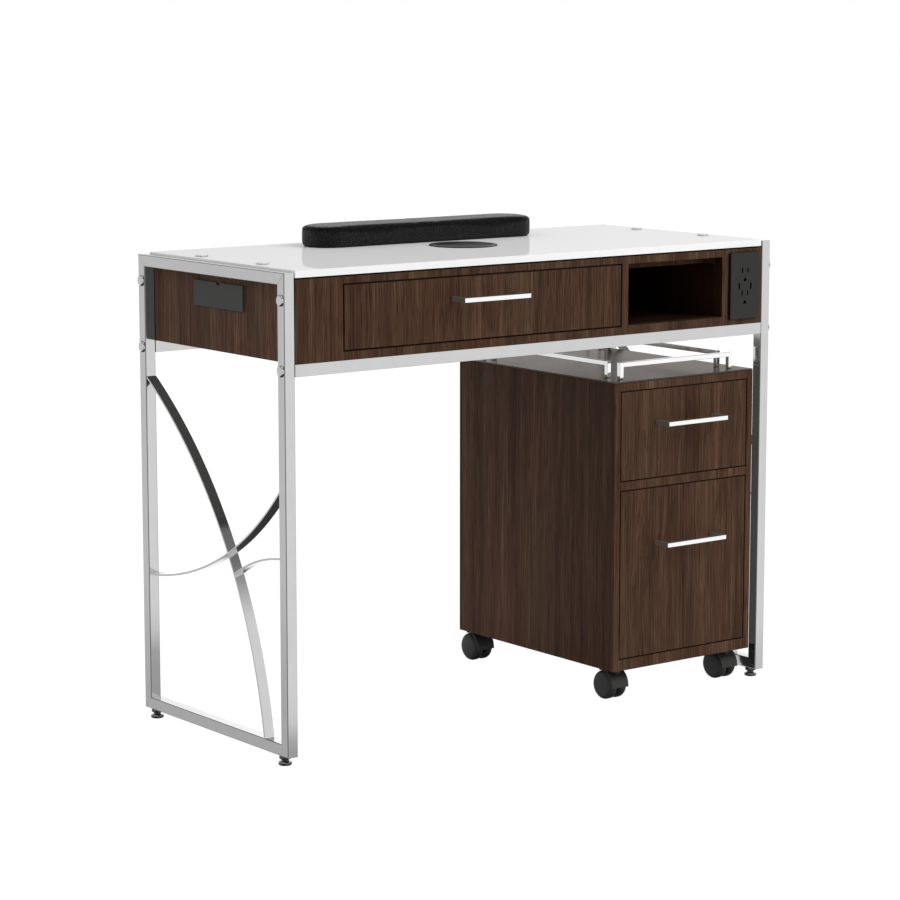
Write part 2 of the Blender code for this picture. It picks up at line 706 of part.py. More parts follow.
def fan_housing():
    """A flat duct from under the vent to the left end panel, with the fan's motor standing on its floor."""
    end_x = -INNER_X

    def outline(half, left):
        return [(left, -half)] + arc(half, -90, 90, 10) + [(left, half)]

    made = mesh_object("fan_housing", prism([outline(DUCT_HALF, end_x)], "Z", DUCT_Z0, DUCT_Z1), BLACK)
    space = outline(DUCT_HALF - DUCT_WALL, end_x - OVERRUN)
    space_z = inset((DUCT_Z0, DUCT_Z1), DUCT_WALL)
    cut(made, "fan_housing_space", prism([space], "Z", *space_z))
    cut(made, "fan_inlet", cylinder(INLET_R, DUCT_Z1 - INLET_CUT, DUCT_Z1 + INLET_CUT, 24))
    motor = [
        (0, MOTOR_Z0), (MOTOR_R, MOTOR_Z0), (MOTOR_R, MOTOR_Z1),
        (SHAFT_R, MOTOR_Z1), (SHAFT_R, SHAFT_TOP), (0, SHAFT_TOP),
    ]
    join(made, "fan_motor_and_shaft", lathe(motor, 12))


def blade_point(base, radius, face):
    """A point on one face (-1 or 1) of the blade that leaves the hub at angle `base`."""
    lean = base + BLADE_LEAN * (radius - HUB_R) / (BLADE_TIP_R - HUB_R)
    x, y = polar(radius, lean)
    return (x - face * BLADE_HALF_T * math.sin(lean), y + face * BLADE_HALF_T * math.cos(lean))


def fan_rotor():
    """A centrifugal impeller: a back plate, a hub bored for the shaft, and curved blades."""
    at = (0, 0, ROTOR_Z)
    pivot = empty("fan_axis", at, ROOT)
    radii = [HUB_R + (BLADE_TIP_R - HUB_R) * i / BLADE_STEPS for i in range(BLADE_STEPS + 1)]
    outline = []
    for i in range(BLADES):
        base = 2 * math.pi * i / BLADES
        outline += [blade_point(base, radius, -1) for radius in radii]
        outline += [blade_point(base, radius, 1) for radius in reversed(radii)]
        # One hub point half way to the next blade.
        outline.append(polar(HUB_R, base + math.pi / BLADES))
    made = mesh_object("fan_rotor", prism([outline], "Z", *BLADE_Z), BLACK, at, pivot)
    join(made, "fan_back_plate", cylinder(BACK_PLATE_R, *BACK_PLATE_Z, 24), at, pivot)
    cut(made, "fan_bore", cylinder(ROTOR_BORE_R, *ROTOR_BORE_Z, 8), at, pivot)


fan_housing()
fan_rotor()

# ---- filter tray ---------------------------------------------------------------------------------
TRAY_FACE_Y, TRAY_FACE_Z, TRAY_FACE_T = (-0.0717, 0.0682), (0.6910, 0.7313), 0.003
NOTCH_Y, NOTCH_HALF, NOTCH_DEPTH = -0.0025, 0.0055, 0.0045
TRAY_INNER_X, TRAY_WALL = -0.345, 0.002
TRAY_Y, TRAY_Z = (-0.0660, 0.0660), (0.6930, 0.7210)
TRAY_CUT_TOP = 0.7300
TRAY_BITE = 0.001               # how far the body runs into the face
TRAY_SLOT_PITCH, TRAY_SLOT_HALF, TRAY_SLOT_Z = 0.0112, 0.0040, (0.6975, 0.7180)


def filter_tray():
    """A pull out tray for the filter. Its face covers the opening in the left end panel, and has a
    notch in its top edge."""
    face_x = -APRON_X - GAP
    slide = empty("filter_tray_slide", (face_x, 0, middle(TRAY_HOLE_Z)), ROOT)
    (y0, y1), (z0, z1) = TRAY_FACE_Y, TRAY_FACE_Z
    outline = [(y0, z0), (y1, z0), (y1, z1)]
    for degrees in range(0, 181, 30):
        across, down = polar(1, math.radians(degrees))
        outline.append((NOTCH_Y + NOTCH_HALF * across, z1 - NOTCH_DEPTH * down))
    outline.append((y0, z1))
    face = prism([outline], "X", face_x - TRAY_FACE_T, face_x)
    made = mesh_object("filter_tray", face, BLACK, parent=slide)
    join(made, "filter_tray_body", box_mesh((face_x - TRAY_BITE, TRAY_INNER_X), TRAY_Y, TRAY_Z))
    space = box_mesh(
        inset((face_x, TRAY_INNER_X), TRAY_WALL),
        inset(TRAY_Y, TRAY_WALL),
        (TRAY_Z[0] + TRAY_WALL, TRAY_CUT_TOP),
    )
    cut(made, "filter_tray_space", space)
    slots = bmesh.new()
    for i in range(-5, 6):
        slot_y = around(i * TRAY_SLOT_PITCH, TRAY_SLOT_HALF)
        add_box(slots, around(TRAY_INNER_X, OVERRUN), slot_y, TRAY_SLOT_Z)
    cut(made, "filter_tray_slots", slots)


filter_tray()

# ---- arm rest ------------------------------------------------------------------------------------
REST_LENGTH, REST_WIDTH, REST_CORNER = 0.457, 0.090, 0.040
REST_Y, REST_TOP = 0.124, 0.7987


def arm_rest():
    """A long pad with rounded ends, resting on the glass."""
    outline = rounded(around(0, REST_LENGTH / 2), around(0, REST_WIDTH / 2), REST_CORNER, 5)
    pad = prism([outline], "Z", 0, REST_TOP - ON_GLASS)
    made = mesh_object("arm_rest", pad, VINYL, (0, REST_Y, ON_GLASS))
    bevel = bevel_edges(made, width=0.008, segments=2)
    bevel.angle_limit = math.radians(50)


arm_rest()

# ---- rolling cart --------------------------------------------------------------------------------
CART_X, CART_Y = (0.1585, 0.4675), (-0.2050, 0.2150)
CART_Z0, CART_Z1 = 0.0555, 0.5440
CART_SIDE, CART_BACK, CART_SHEET = 0.0125, 0.006, 0.0024    # thicknesses
CART_REVEAL, CART_FRONT_T = 0.0012, 0.016
CART_BOX_BACK_Y, CART_BOX_LIFT = 0.175, 0.008
CART_PULL_SHIFT = -0.0003       # along X from the drawer's middle
# Level, front's z span, pull z, drop from the front's top to the box's top.
CART_DRAWERS = (
    ("upper", (0.3773, 0.5267), 0.4708, 0.025),
    ("lower", (0.0760, 0.3603), 0.2663, 0.035),
)
GALLERY_BAR, GALLERY_H = 0.008, 0.0285
GALLERY_FRONT_IN, GALLERY_END_IN = 0.0215, 0.0277   # in from front and back edges, and from end edges
GALLERY_X_TRIM, GALLERY_Y_TRIM = 0.0285, 0.053      # each rail's ends, in from the cart's edges

CART_CX, CART_CY = middle(CART_X), middle(CART_Y)
CART_WIDTH, CART_DEPTH = CART_X[1] - CART_X[0], CART_Y[1] - CART_Y[0]
CART_BACK_Y = CART_Y[1] - CART_BACK
SHEET_Z = CART_Z1 - CART_SHEET
CART_BODY_Z = (CART_Z0, SHEET_Z - GAP)
CART = empty("cart", (CART_CX, CART_CY, 0), ROOT)


def cart_carcass():
    """The cart's body, with an opening for each drawer, lower one first."""
    loops = [rectangle(CART_X, CART_BODY_Z)]
    for _, z_span, _, _ in reversed(CART_DRAWERS):
        loops.append(rectangle(inset(CART_X, CART_SIDE), inset(z_span, -CART_REVEAL)))
    mesh = prism(loops, "Y", CART_Y[0], CART_BACK_Y - GAP)
    return mesh_object("cart_carcass", mesh, WALNUT, parent=CART)


def gallery_rail(where, x, y, length, thin_axis):
    """A low rail: a square bar on two legs of the same bar."""
    outline = staple(length, foot=CART_Z1 + GAP, outer=CART_Z1 + GALLERY_H, bar=GALLERY_BAR)
    mesh = prism([outline], thin_axis, -GALLERY_BAR / 2, GALLERY_BAR / 2)
    mesh_object(f"gallery_rail_{where}", mesh, CHROME, (x, y, 0), CART)


carcass = cart_carcass()
box("cart_back_panel", CART_X, (CART_BACK_Y, CART_Y[1]), CART_BODY_Z, WALNUT, CART)
box("cart_top_sheet", CART_X, CART_Y, (SHEET_Z, CART_Z1), DARK_METAL, CART)
for where, sign in ENDS:
    y = CART_CY + sign * (CART_DEPTH / 2 - GALLERY_FRONT_IN - GALLERY_BAR / 2)
    gallery_rail(where, CART_CX, y, CART_WIDTH - 2 * GALLERY_X_TRIM, "Y")
for side, sign in SIDES:
    x = CART_CX + sign * (CART_WIDTH / 2 - GALLERY_END_IN - GALLERY_BAR / 2)
    gallery_rail(side, x, CART_CY, CART_DEPTH - 2 * GALLERY_Y_TRIM, "X")
for level, z_span, pull_z, top_drop in CART_DRAWERS:
    drawer(
        f"cart_{level}_drawer",
        inset(CART_X, CART_SIDE + CART_REVEAL),
        z_span,
        face_y=CART_Y[0],
        front_t=CART_FRONT_T,
        box_back=CART_BOX_BACK_Y,
        box_z=(z_span[0] + CART_BOX_LIFT, z_span[1] - top_drop),
        pull_shift=CART_PULL_SHIFT,
        pull_z=pull_z,
        parent=CART,
    )

# ---- casters -------------------------------------------------------------------------------------
WHEEL_R, CASTER_TRAIL = 0.0245, 0.015
STEM_X, STEM_Y = 0.0295, 0.027          # in from the cart's sides, and from its front and back
STEM_R, STEM_COLLAR_R, STEM_COLLAR_Z0 = 0.0040, 0.0070, 0.0484
STEM_RISE = 0.0150                      # into the cart
SOCKET_R, SOCKET_DEPTH = 0.0045, 0.0160
GUARD_INNER_R, GUARD_OUTER_R, GUARD_HALF = 0.0256, 0.0291, 0.0185
GUARD_ARC = (78, 200, 6)                # start and end in degrees, steps
WEB_HALF, BOSS_R = 0.0032, 0.0085
BOSS_ANGLES = (230, 300, 350, 50)
AXLE_BORE_R, AXLE_BORE_HALF = 0.0035, 0.02
AXLE_R = 0.0030
# Radius, distance along the axle: one wheel from its domed outer face to the axle.
WHEEL_PROFILE = [
    (0, -0.0210), (0.0165, -0.0202), (WHEEL_R, -0.0150), (WHEEL_R, -0.0040), (AXLE_R, -0.0040),
]


def caster_hood(name, stem_at, axle_at, swivel):
    """A middle web between the wheels, a guard over them and a stem up into the cart."""
    outer = arc(GUARD_OUTER_R, *GUARD_ARC)
    boss = [polar(BOSS_R, math.radians(degrees)) for degrees in BOSS_ANGLES]
    web = prism([outer + boss], "X", -WEB_HALF, WEB_HALF)
    made = mesh_object(f"{name}_hood", web, BLACK, axle_at, swivel, smooth=True)
    guard = outer + arc(GUARD_INNER_R, *GUARD_ARC)[::-1]
    join(made, f"{name}_guard", prism([guard], "X", -GUARD_HALF, GUARD_HALF), axle_at, swivel)
    rise, tip = CART_Z0 - GAP, CART_Z0 + STEM_RISE
    stem = [
        (0, STEM_COLLAR_Z0), (STEM_COLLAR_R, STEM_COLLAR_Z0), (STEM_COLLAR_R, rise),
        (STEM_R, rise), (STEM_R, tip), (0, tip),
    ]
    join(made, f"{name}_stem", lathe(stem, 10), stem_at, swivel)
    bore = turned(cylinder(AXLE_BORE_R, -AXLE_BORE_HALF, AXLE_BORE_HALF, 8))
    cut(made, f"{name}_axle_bore", bore, axle_at, swivel)


def caster(name, x, y):
    """A twin wheel caster. The hood swivels on the stem, and the wheels turn on the axle behind it."""
    swivel = empty(f"{name}_swivel", (x, y, CART_Z0), CART)
    axle_at = (x, y + CASTER_TRAIL, WHEEL_R)
    spin = empty(f"{name}_axle", axle_at, swivel)
    caster_hood(name, (x, y, 0), axle_at, swivel)
    # One wheel each side of the web, joined by the axle.
    profile = WHEEL_PROFILE + [(radius, -along) for radius, along in reversed(WHEEL_PROFILE)]
    wheels = turned(lathe(profile, 24))
    mesh_object(f"{name}_wheels", wheels, BLACK, axle_at, spin, smooth=True)
    socket = cylinder(SOCKET_R, -SOCKET_DEPTH, SOCKET_DEPTH, 8)
    cut(carcass, f"{name}_socket", socket, (x, y, CART_Z0), CART)


for side, x_sign in SIDES:
    for where, y_sign in ENDS:
        caster(
            f"caster_{where}_{side}",
            CART_CX + x_sign * (CART_WIDTH / 2 - STEM_X),
            CART_CY + y_sign * (CART_DEPTH / 2 - STEM_Y),
        )

# The outline runs from the desk drawer's pull to the back casters' wheels; centre it on the origin.
OUTLINE_Y = (-HALF_DEPTH - PULL_OUT, CART_Y[1] - STEM_Y + CASTER_TRAIL + WHEEL_R)
ROOT.location.y = -middle(OUTLINE_Y)
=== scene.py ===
"""Looks of a manicure table with a rolling cart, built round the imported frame.

Metres, +Z up, +X right, the drawers open towards -Y. The desk is centred on X = 0 and stands on
Z = 0; the cart stands under its right half. Everything is procedural: no image textures.
"""

import json
import math
from functools import reduce

import bmesh
import bpy
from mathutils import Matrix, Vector

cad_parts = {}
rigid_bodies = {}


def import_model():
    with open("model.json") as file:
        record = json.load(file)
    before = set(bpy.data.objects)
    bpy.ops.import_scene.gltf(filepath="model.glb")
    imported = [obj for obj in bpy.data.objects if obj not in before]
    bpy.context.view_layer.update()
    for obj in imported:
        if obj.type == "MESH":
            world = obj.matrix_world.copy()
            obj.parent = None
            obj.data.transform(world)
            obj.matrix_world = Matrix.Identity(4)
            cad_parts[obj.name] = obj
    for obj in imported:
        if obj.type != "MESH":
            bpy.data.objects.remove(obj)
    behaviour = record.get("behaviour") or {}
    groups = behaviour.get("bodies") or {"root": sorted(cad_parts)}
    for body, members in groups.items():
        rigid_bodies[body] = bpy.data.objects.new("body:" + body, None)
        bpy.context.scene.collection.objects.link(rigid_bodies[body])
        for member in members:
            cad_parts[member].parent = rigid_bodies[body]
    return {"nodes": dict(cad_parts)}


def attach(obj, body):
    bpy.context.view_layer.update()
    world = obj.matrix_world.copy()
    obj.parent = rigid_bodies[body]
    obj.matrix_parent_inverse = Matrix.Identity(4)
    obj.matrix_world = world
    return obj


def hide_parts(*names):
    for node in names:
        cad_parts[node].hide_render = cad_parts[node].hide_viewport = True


for old in list(bpy.data.objects):
    bpy.data.objects.remove(old, do_unlink=True)

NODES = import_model()["nodes"]
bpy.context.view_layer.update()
scene = bpy.context.scene

# ---- sizes shared with the frame ---------------------------------------------------------------
DESK_Y = 0.0085                   # the desk's centre plane
HALF_LENGTH, HALF_DEPTH = 0.500, 0.209
FRONT_Y = DESK_Y - HALF_DEPTH
BACK_Y = DESK_Y + HALF_DEPTH
FRAME_TOP, FRAME_BOTTOM = 0.762, 0.015
TUBE = 0.019                      # side of the square tube
GAP = 0.0003                      # clearance between touching parts
GLASS_BOTTOM, GLASS_TOP = 0.7535, 0.7647
CART_FRONT_Y = DESK_Y - 0.2050
SIDES = (("left", -1), ("right", 1))
ENDS = (("front", -1), ("back", 1))


# ---- shader helpers ----------------------------------------------------------------------------
class Graph:
    """A node tree wired by small methods that hand sockets to each other."""

    def __init__(self, tree):
        self.tree = tree
        tree.nodes.clear()

    def add(self, kind, **settings):
        node = self.tree.nodes.new(kind)
        for key, value in settings.items():
            setattr(node, key, value)
        return node

    def feed(self, socket, value):
        """Links a socket, or sets a plain value."""
        if isinstance(value, bpy.types.NodeSocket):
            self.tree.links.new(value, socket)
        elif isinstance(value, (tuple, list)) and socket.type == "RGBA" and len(value) == 3:
            socket.default_value = (*value, 1.0)
        else:
            socket.default_value = value

    def calc(self, operation, *values, clamp=False):
        node = self.add("ShaderNodeMath", operation=operation, use_clamp=clamp)
        for i, value in enumerate(values):
            self.feed(node.inputs[i], value)
        return node.outputs[0]

    def plus(self, *values):
        return reduce(lambda a, b: self.calc("ADD", a, b), values)

    def times(self, *values):
        return reduce(lambda a, b: self.calc("MULTIPLY", a, b), values)

    def minus(self, a, b):
        return self.calc("SUBTRACT", a, b)

    def invert(self, value):
        return self.minus(1.0, value)

    def size(self, value):
        return self.calc("ABSOLUTE", value)

    def within(self, value, low, high):
        return self.times(self.calc("GREATER_THAN", value, low), self.calc("LESS_THAN", value, high))

    def split(self, vector):
        node = self.add("ShaderNodeSeparateXYZ")
        self.feed(node.inputs[0], vector)
        return tuple(node.outputs)

    def join(self, x, y, z):
        node = self.add("ShaderNodeCombineXYZ")
        for i, value in enumerate((x, y, z)):
            self.feed(node.inputs[i], value)
        return node.outputs[0]

    def vector(self, operation, a, b, output="Vector"):
        node = self.add("ShaderNodeVectorMath", operation=operation)
        self.feed(node.inputs[0], a)
        self.feed(node.inputs[1], b)
        return node.outputs[output]

    def scaled(self, vector, by):
        """`by` is one number, or one for each axis."""
        return self.vector("MULTIPLY", vector, by if isinstance(by, tuple) else (by, by, by))

    def dot(self, vector, other):
        return self.vector("DOT_PRODUCT", vector, other, output="Value")

    def noise(self, vector, frequency, detail, roughness=0.5):
        """Noise with `frequency` cells to the metre, as one number or one for each axis."""
        scaled = self.scaled(vector, frequency)
        node = self.add("ShaderNodeTexNoise")
        self.feed(node.inputs["Vector"], scaled)
        node.inputs["Scale"].default_value = 1.0
        node.inputs["Detail"].default_value = detail
        node.inputs["Roughness"].default_value = roughness
        return node.outputs[0]

    def voronoi(self, vector, feature, smoothness=None):
        node = self.add("ShaderNodeTexVoronoi", feature=feature)
        self.feed(node.inputs["Vector"], vector)
        node.inputs["Scale"].default_value = 1.0
        if smoothness is not None:
            node.inputs["Smoothness"].default_value = smoothness
        return node.outputs["Distance"]

    def span(self, value, between, to=(0.0, 1.0), kind="LINEAR"):
        """Maps the range `between` onto the range `to`."""
        node = self.add("ShaderNodeMapRange", interpolation_type=kind)
        names = ("Value", "From Min", "From Max", "To Min", "To Max")
        for name, amount in zip(names, (value, *between, *to)):
            self.feed(node.inputs[name], amount)
        return node.outputs[0]

    def ease(self, value, between, to=(0.0, 1.0)):
        """A span with soft ends."""
        return self.span(value, between, to, kind="SMOOTHSTEP")

    def mix(self, factor, off, on, blend="MIX"):
        node = self.add("ShaderNodeMix", data_type="RGBA", blend_type=blend)
        self.feed(node.inputs[0], factor)
        self.feed(node.inputs[6], off)
        self.feed(node.inputs[7], on)
        return node.outputs[2]

    def tinted(self, colour, tint):
        return self.mix(1.0, colour, tint, blend="MULTIPLY")

    def ramp(self, value, stops):
        """Stops are (position, colour)."""
        node = self.add("ShaderNodeValToRGB")
        self.feed(node.inputs[0], value)
        elements = node.color_ramp.elements
        while len(elements) < len(stops):
            elements.new(0.5)
        for element, (position, colour) in zip(elements, stops):
            element.position = position
            element.color = (*colour, 1.0)
        return node.outputs[0]

    def bump(self, height, strength, distance, normal=None):
        node = self.add("ShaderNodeBump")
        self.feed(node.inputs["Height"], height)
        node.inputs["Strength"].default_value = strength
        node.inputs["Distance"].default_value = distance
        if normal is not None:
            self.feed(node.inputs["Normal"], normal)
        return node.outputs[0]

    def object_coords(self):
        return self.add("ShaderNodeTexCoord").outputs["Object"]

    def object_normal(self):
        return self.split(self.add("ShaderNodeTexCoord").outputs["Normal"])

    def geometry(self, output):
        return self.add("ShaderNodeNewGeometry").outputs[output]

    def white(self, kind, strength):
        """A white emission or background."""
        node = self.add(kind)
        node.inputs["Color"].default_value = (1, 1, 1, 1)
        self.feed(node.inputs["Strength"], strength)
        return node.outputs[0]

    def choose(self, factor, off, on):
        """A blend of two shaders."""
        node = self.add("ShaderNodeMixShader")
        for i, value in enumerate((factor, off, on)):
            self.feed(node.inputs[i], value)
        return node.outputs[0]


class Shade(Graph):
    """The graph of a material that ends in a Principled shader."""

    def __init__(self, name):
        self.material = bpy.data.materials.new(name)
        self.material.use_nodes = True
        super().__init__(self.material.node_tree)
        self.out = self.add("ShaderNodeOutputMaterial")
        self.bsdf = self.add("ShaderNodeBsdfPrincipled")
        self.feed(self.out.inputs[0], self.bsdf.outputs[0])

    def set(self, **values):
        for key, value in values.items():
            self.feed(self.bsdf.inputs[key.replace("_", " ")], value)
        return self.material


def toned(colour, by):
    return [channel * by for channel in colour]


# ---- materials ---------------------------------------------------------------------------------
def gap_shade_mask(s, reach, between):
    """A mask for painted shade: 0 down in a gap narrower than about `reach`, rising to 1 in the
    open.
    """
    node = s.add("ShaderNodeAmbientOcclusion", samples=6)
    node.inputs["Distance"].default_value = reach
    return s.ease(node.outputs["AO"], between)


def square_on(s):
    """1 on faces square to an axis, 0 on the softened edges between them."""
    x, y, z = s.object_normal()
    most = s.calc("MAXIMUM", s.calc("MAXIMUM", s.size(x), s.size(y)), s.size(z))
    return s.ease(most, between=(0.93, 0.985))


def mouth_light(front, x_range, z_range):
    """Light round an opening: 1 in the open, small on its lining, 20 mm deep from the front."""

    def light(s):
        x, y, z = s.split(s.object_coords())
        deep = s.within(y, front + 0.00008, front + 0.0200)
        lining = s.times(s.within(x, *x_range), s.within(z, *z_range))
        inside = s.invert(s.times(deep, lining, 0.86))
        # Painted shade: the end faces darken a little towards the front corner.
        ends = s.calc("GREATER_THAN", s.size(s.object_normal()[0]), 0.9)
        fall = s.times(ends, s.ease(y, between=(front - 0.050, front + 0.300), to=(0.46, 0.0)))
        return s.times(inside, s.invert(fall))

    return light


def cubby_light(s):
    """1 on the crossbar near the mouth, small in the depth of the cubby."""
    z_above, y_before, depth_light = 0.7262, -0.1372, 0.15
    _, y, z = s.split(s.geometry("Position"))
    high = s.calc("GREATER_THAN", z, z_above)
    bar = s.times(high, s.calc("LESS_THAN", y, y_before))
    return s.calc("ADD", s.times(bar, 0.85), depth_light, clamp=True)


def walnut(name, seed, tone=1.0, light=None, specular=0.05, edge=1.0, glow=(0.056, 0.055, 0.054)):
    """Dark walnut laminate. The grain runs up every upright face, and along X on level ones.

    `seed` moves the figure, `tone` scales the browns, `light` gives 0 where the wood is in shadow,
    `edge` paints shade on the softened edges, and `glow` is a painted reflection, a glow that only
    mirrors see on top of the base colour.
    """
    s = Shade(name)
    x, y, z = s.split(s.object_coords())
    level = s.calc("GREATER_THAN", s.size(s.split(s.geometry("Normal"))[2]), 0.6)
    upright = s.invert(level)

    def pick(on_upright, on_level):
        return s.plus(s.times(on_upright, upright), s.times(on_level, level))

    # (across, across, along) the grain, moved by the seed.
    base = s.join(
        s.plus(pick(x, y), seed * 1.37),
        s.plus(pick(y, z), seed * 2.11),
        s.plus(pick(z, x), seed * 0.53),
    )
    # The grain wanders sideways by a few millimetres.
    wander = s.noise(base, frequency=(10, 10, 2.2), detail=3, roughness=0.6)
    drift = s.times(s.minus(wander, 0.5), 0.020)
    grain = s.vector("ADD", base, s.join(drift, drift, 0.0))
    broad = s.noise(grain, frequency=(22, 22, 0.9), detail=2, roughness=0.55)
    band = s.noise(grain, frequency=(95, 95, 2.2), detail=3, roughness=0.6)
    fine = s.noise(grain, frequency=(420, 420, 6.5), detail=3, roughness=0.65)
    streak = s.noise(grain, frequency=(780, 780, 17), detail=1)
    figure = s.plus(s.times(broad, 0.30), s.times(band, 0.32), s.times(fine, 0.38))
    browns = [
        (0.34, (0.0250, 0.0118, 0.0072)),
        (0.44, (0.0470, 0.0228, 0.0137)),
        (0.53, (0.0720, 0.0366, 0.0222)),
        (0.65, (0.1280, 0.0720, 0.0460)),
    ]
    colour = s.ramp(figure, [(position, toned(brown, tone)) for position, brown in browns])
    # Dark pores.
    pore = s.ease(streak, between=(0.585, 0.67))
    colour = s.mix(s.times(pore, 0.60), colour, (0.011, 0.0052, 0.0034))
    # Heartwood runs from reddish to a yellower brown.
    heart = s.noise(base, frequency=(17, 17, 1.3), detail=2)
    warm = s.ease(heart, between=(0.38, 0.62))
    reddish, yellower = (1.03, 0.955, 0.95), (0.99, 1.06, 1.03)
    colour = s.mix(warm, s.tinted(colour, reddish), s.tinted(colour, yellower))
    # Pale flecks.
    pale = s.ease(s.noise(grain, frequency=(620, 620, 9), detail=1), between=(0.60, 0.70))
    colour = s.mix(s.times(pale, 0.26), colour, toned((0.150, 0.094, 0.062), tone))
    # Painted shade: near black down in the gaps.
    painted_gap_shade = gap_shade_mask(s, reach=0.010, between=(0.18, 0.56))
    colour = s.mix(painted_gap_shade, (0.0030, 0.0014, 0.0010), colour)
    # Painted shade on the softened edges.
    if edge < 1.0:
        edge_shade_colour = s.tinted(colour, toned((1.0, 0.85, 0.8), edge))
        colour = s.mix(square_on(s), edge_shade_colour, colour)
    relief = s.minus(s.times(fine, 0.5), s.times(pore, 0.6))
    if light:
        colour = s.mix(light(s), (0.0135, 0.0050, 0.0030), colour)
    # Painted reflection: plated steel shows the wood as a plain dark grey, not as brown, and the
    # wood glows by `glow` for mirrors only.
    mirror = s.add("ShaderNodeLightPath").outputs["Is Glossy Ray"]
    colour = s.mix(mirror, colour, (0.034, 0.034, 0.033))
    return s.set(
        Base_Color=colour,
        Roughness=s.span(fine, between=(0.2, 0.8), to=(0.48, 0.40)),
        Specular_IOR_Level=specular,
        # A painted glow that only mirrors see.
        Emission_Color=glow,
        Emission_Strength=mirror,
        Normal=s.bump(relief, strength=0.12, distance=0.0003),
    )


def drawer_walnut(name, seed, tone):
    """Walnut with painted shade on its softened edges and a warmer painted glow in mirrors."""
    return walnut(name, seed, tone, edge=0.06, glow=(0.040, 0.033, 0.027))


def metal(name, colour, roughness, brushed=None, edge=None, turned=None):
    """Plated or polished metal with faint polishing marks.

    `brushed` is the frequency of brush lines, `edge` scales the colour on softened edges as painted
    dark reflection, and `turned` scales it round the upright flanks of a turned part as painted dark
    reflection too.
    """
    s = Shade(name)
    coords = s.object_coords()
    cloud = s.noise(coords, frequency=35, detail=3)
    rough = s.span(cloud, between=(0.3, 0.7), to=(roughness * 0.85, roughness * 1.2))
    waves = s.noise(coords, frequency=16, detail=1)
    normal = s.bump(waves, strength=0.02, distance=0.002)
    if brushed:
        lines = s.noise(coords, frequency=brushed, detail=2, roughness=0.7)
        normal = s.bump(lines, strength=0.10, distance=0.0002, normal=normal)
        rough = s.plus(rough, s.span(lines, between=(0.3, 0.7), to=(-0.03, 0.05)))
    tint = s.mix(s.span(cloud, between=(0.25, 0.75)), toned(colour, 0.97), toned(colour, 1.02))
    # Painted dark reflection along the softened edges.
    if edge is not None:
        tint = s.mix(square_on(s), toned(colour, edge), tint)
    # Painted dark reflection round the upright flanks.
    if turned is not None:
        up = s.object_normal()[2]
        tint = s.mix(s.ease(up, between=(0.15, 0.75)), toned(colour, turned), tint)
    return s.set(Base_Color=tint, Metallic=1.0, Roughness=rough, Normal=normal)


def bright_plate(name, ends=(0.95, 0.95, 0.945)):
    """A bright mirror finish; `ends` is the tint of what faces along X, a painted reflection."""
    s = Shade(name)
    cloud = s.noise(s.object_coords(), frequency=60, detail=2)
    along = s.size(s.object_normal()[0])
    # Painted reflection: faces along X take the `ends` tint.
    tint = s.mix(s.ease(along, between=(0.80, 0.97)), (0.95, 0.95, 0.945), ends)
    rough = s.span(cloud, between=(0.3, 0.7), to=(0.06, 0.10))
    return s.set(Base_Color=tint, Metallic=1.0, Roughness=rough)


def white_glass():
    """Opaque white glass: the paint is on the back, so it shows under a clear, glossy face."""
    s = Shade("white_glass")
    cloud = s.noise(s.object_coords(), frequency=2.2, detail=2)
    whites = (0.900, 0.906, 0.903), (0.912, 0.917, 0.914)
    tint = s.mix(s.span(cloud, between=(0.3, 0.7)), *whites)
    smear = s.noise(s.object_coords(), frequency=(14, 22, 14), detail=4, roughness=0.65)
    # Painted shade down in narrow gaps, such as the edge beside the frame.
    tint = s.mix(gap_shade_mask(s, reach=0.002, between=(0.10, 0.50)), (0.05, 0.05, 0.05), tint)
    # A low index keeps the reflection weak where the top is seen edge-on; the metallic share keeps
    # it from dying out where it is seen from above.
    return s.set(
        Base_Color=tint,
        Metallic=0.06,
        Roughness=s.span(smear, between=(0.35, 0.75), to=(0.020, 0.050)),
        IOR=1.022,
    )


def vinyl():
    """Black upholstery vinyl with a pebble grain."""
    s = Shade("black_vinyl")
    coords = s.object_coords()
    warp = s.noise(coords, frequency=160, detail=2)
    bent = s.vector("ADD", s.scaled(coords, 360), s.join(warp, warp, warp))
    pebble = s.voronoi(bent, "SMOOTH_F1", smoothness=0.35)
    crease = s.voronoi(s.scaled(coords, 260), "DISTANCE_TO_EDGE")
    ridges = s.span(crease, between=(0.0, 0.16))
    height = s.plus(s.times(pebble, -0.8), s.times(ridges, 0.5))
    fleck = s.noise(coords, frequency=330, detail=1)
    # The flat top catches the light; the rolled edge just below it turns to shadow.
    facing = s.object_normal()[2]
    up = s.ease(facing, between=(0.90, 0.985))
    rolled = s.times(s.ease(facing, between=(0.05, 0.35)), s.invert(up))
    # From painted shade in the creases, near black, to a soft black, with greyer flecks, and painted
    # shade darkest down in the gaps.
    crease_shade, on_grain = (0.0020, 0.0020, 0.0020), (0.0095, 0.0093, 0.0088)
    shade = s.mix(s.span(crease, between=(0.0, 0.18)), crease_shade, on_grain)
    shade = s.mix(s.ease(fleck, between=(0.54, 0.66)), shade, (0.0180, 0.0177, 0.0170))
    shade = s.mix(gap_shade_mask(s, reach=0.006, between=(0.35, 0.80)), (0.0006, 0.0005, 0.0005), shade)
    shade = s.mix(rolled, shade, s.tinted(shade, (0.58, 0.55, 0.53)))
    # Highlights are strongest on the top and weakest on the rolled edge.
    shine = s.plus(s.times(up, 0.70), s.times(s.invert(rolled), 0.15))
    return s.set(
        Base_Color=shade,
        Roughness=s.span(pebble, between=(0.0, 0.7), to=(0.32, 0.48)),
        Specular_IOR_Level=s.calc("MAXIMUM", shine, 0.07),
        Sheen_Weight=s.times(s.invert(s.times(rolled, 0.8)), 0.060),
        Sheen_Roughness=0.35,
        Sheen_Tint=(0.85, 0.84, 0.82, 1.0),
        Normal=s.bump(height, strength=1.0, distance=0.0016),
    )


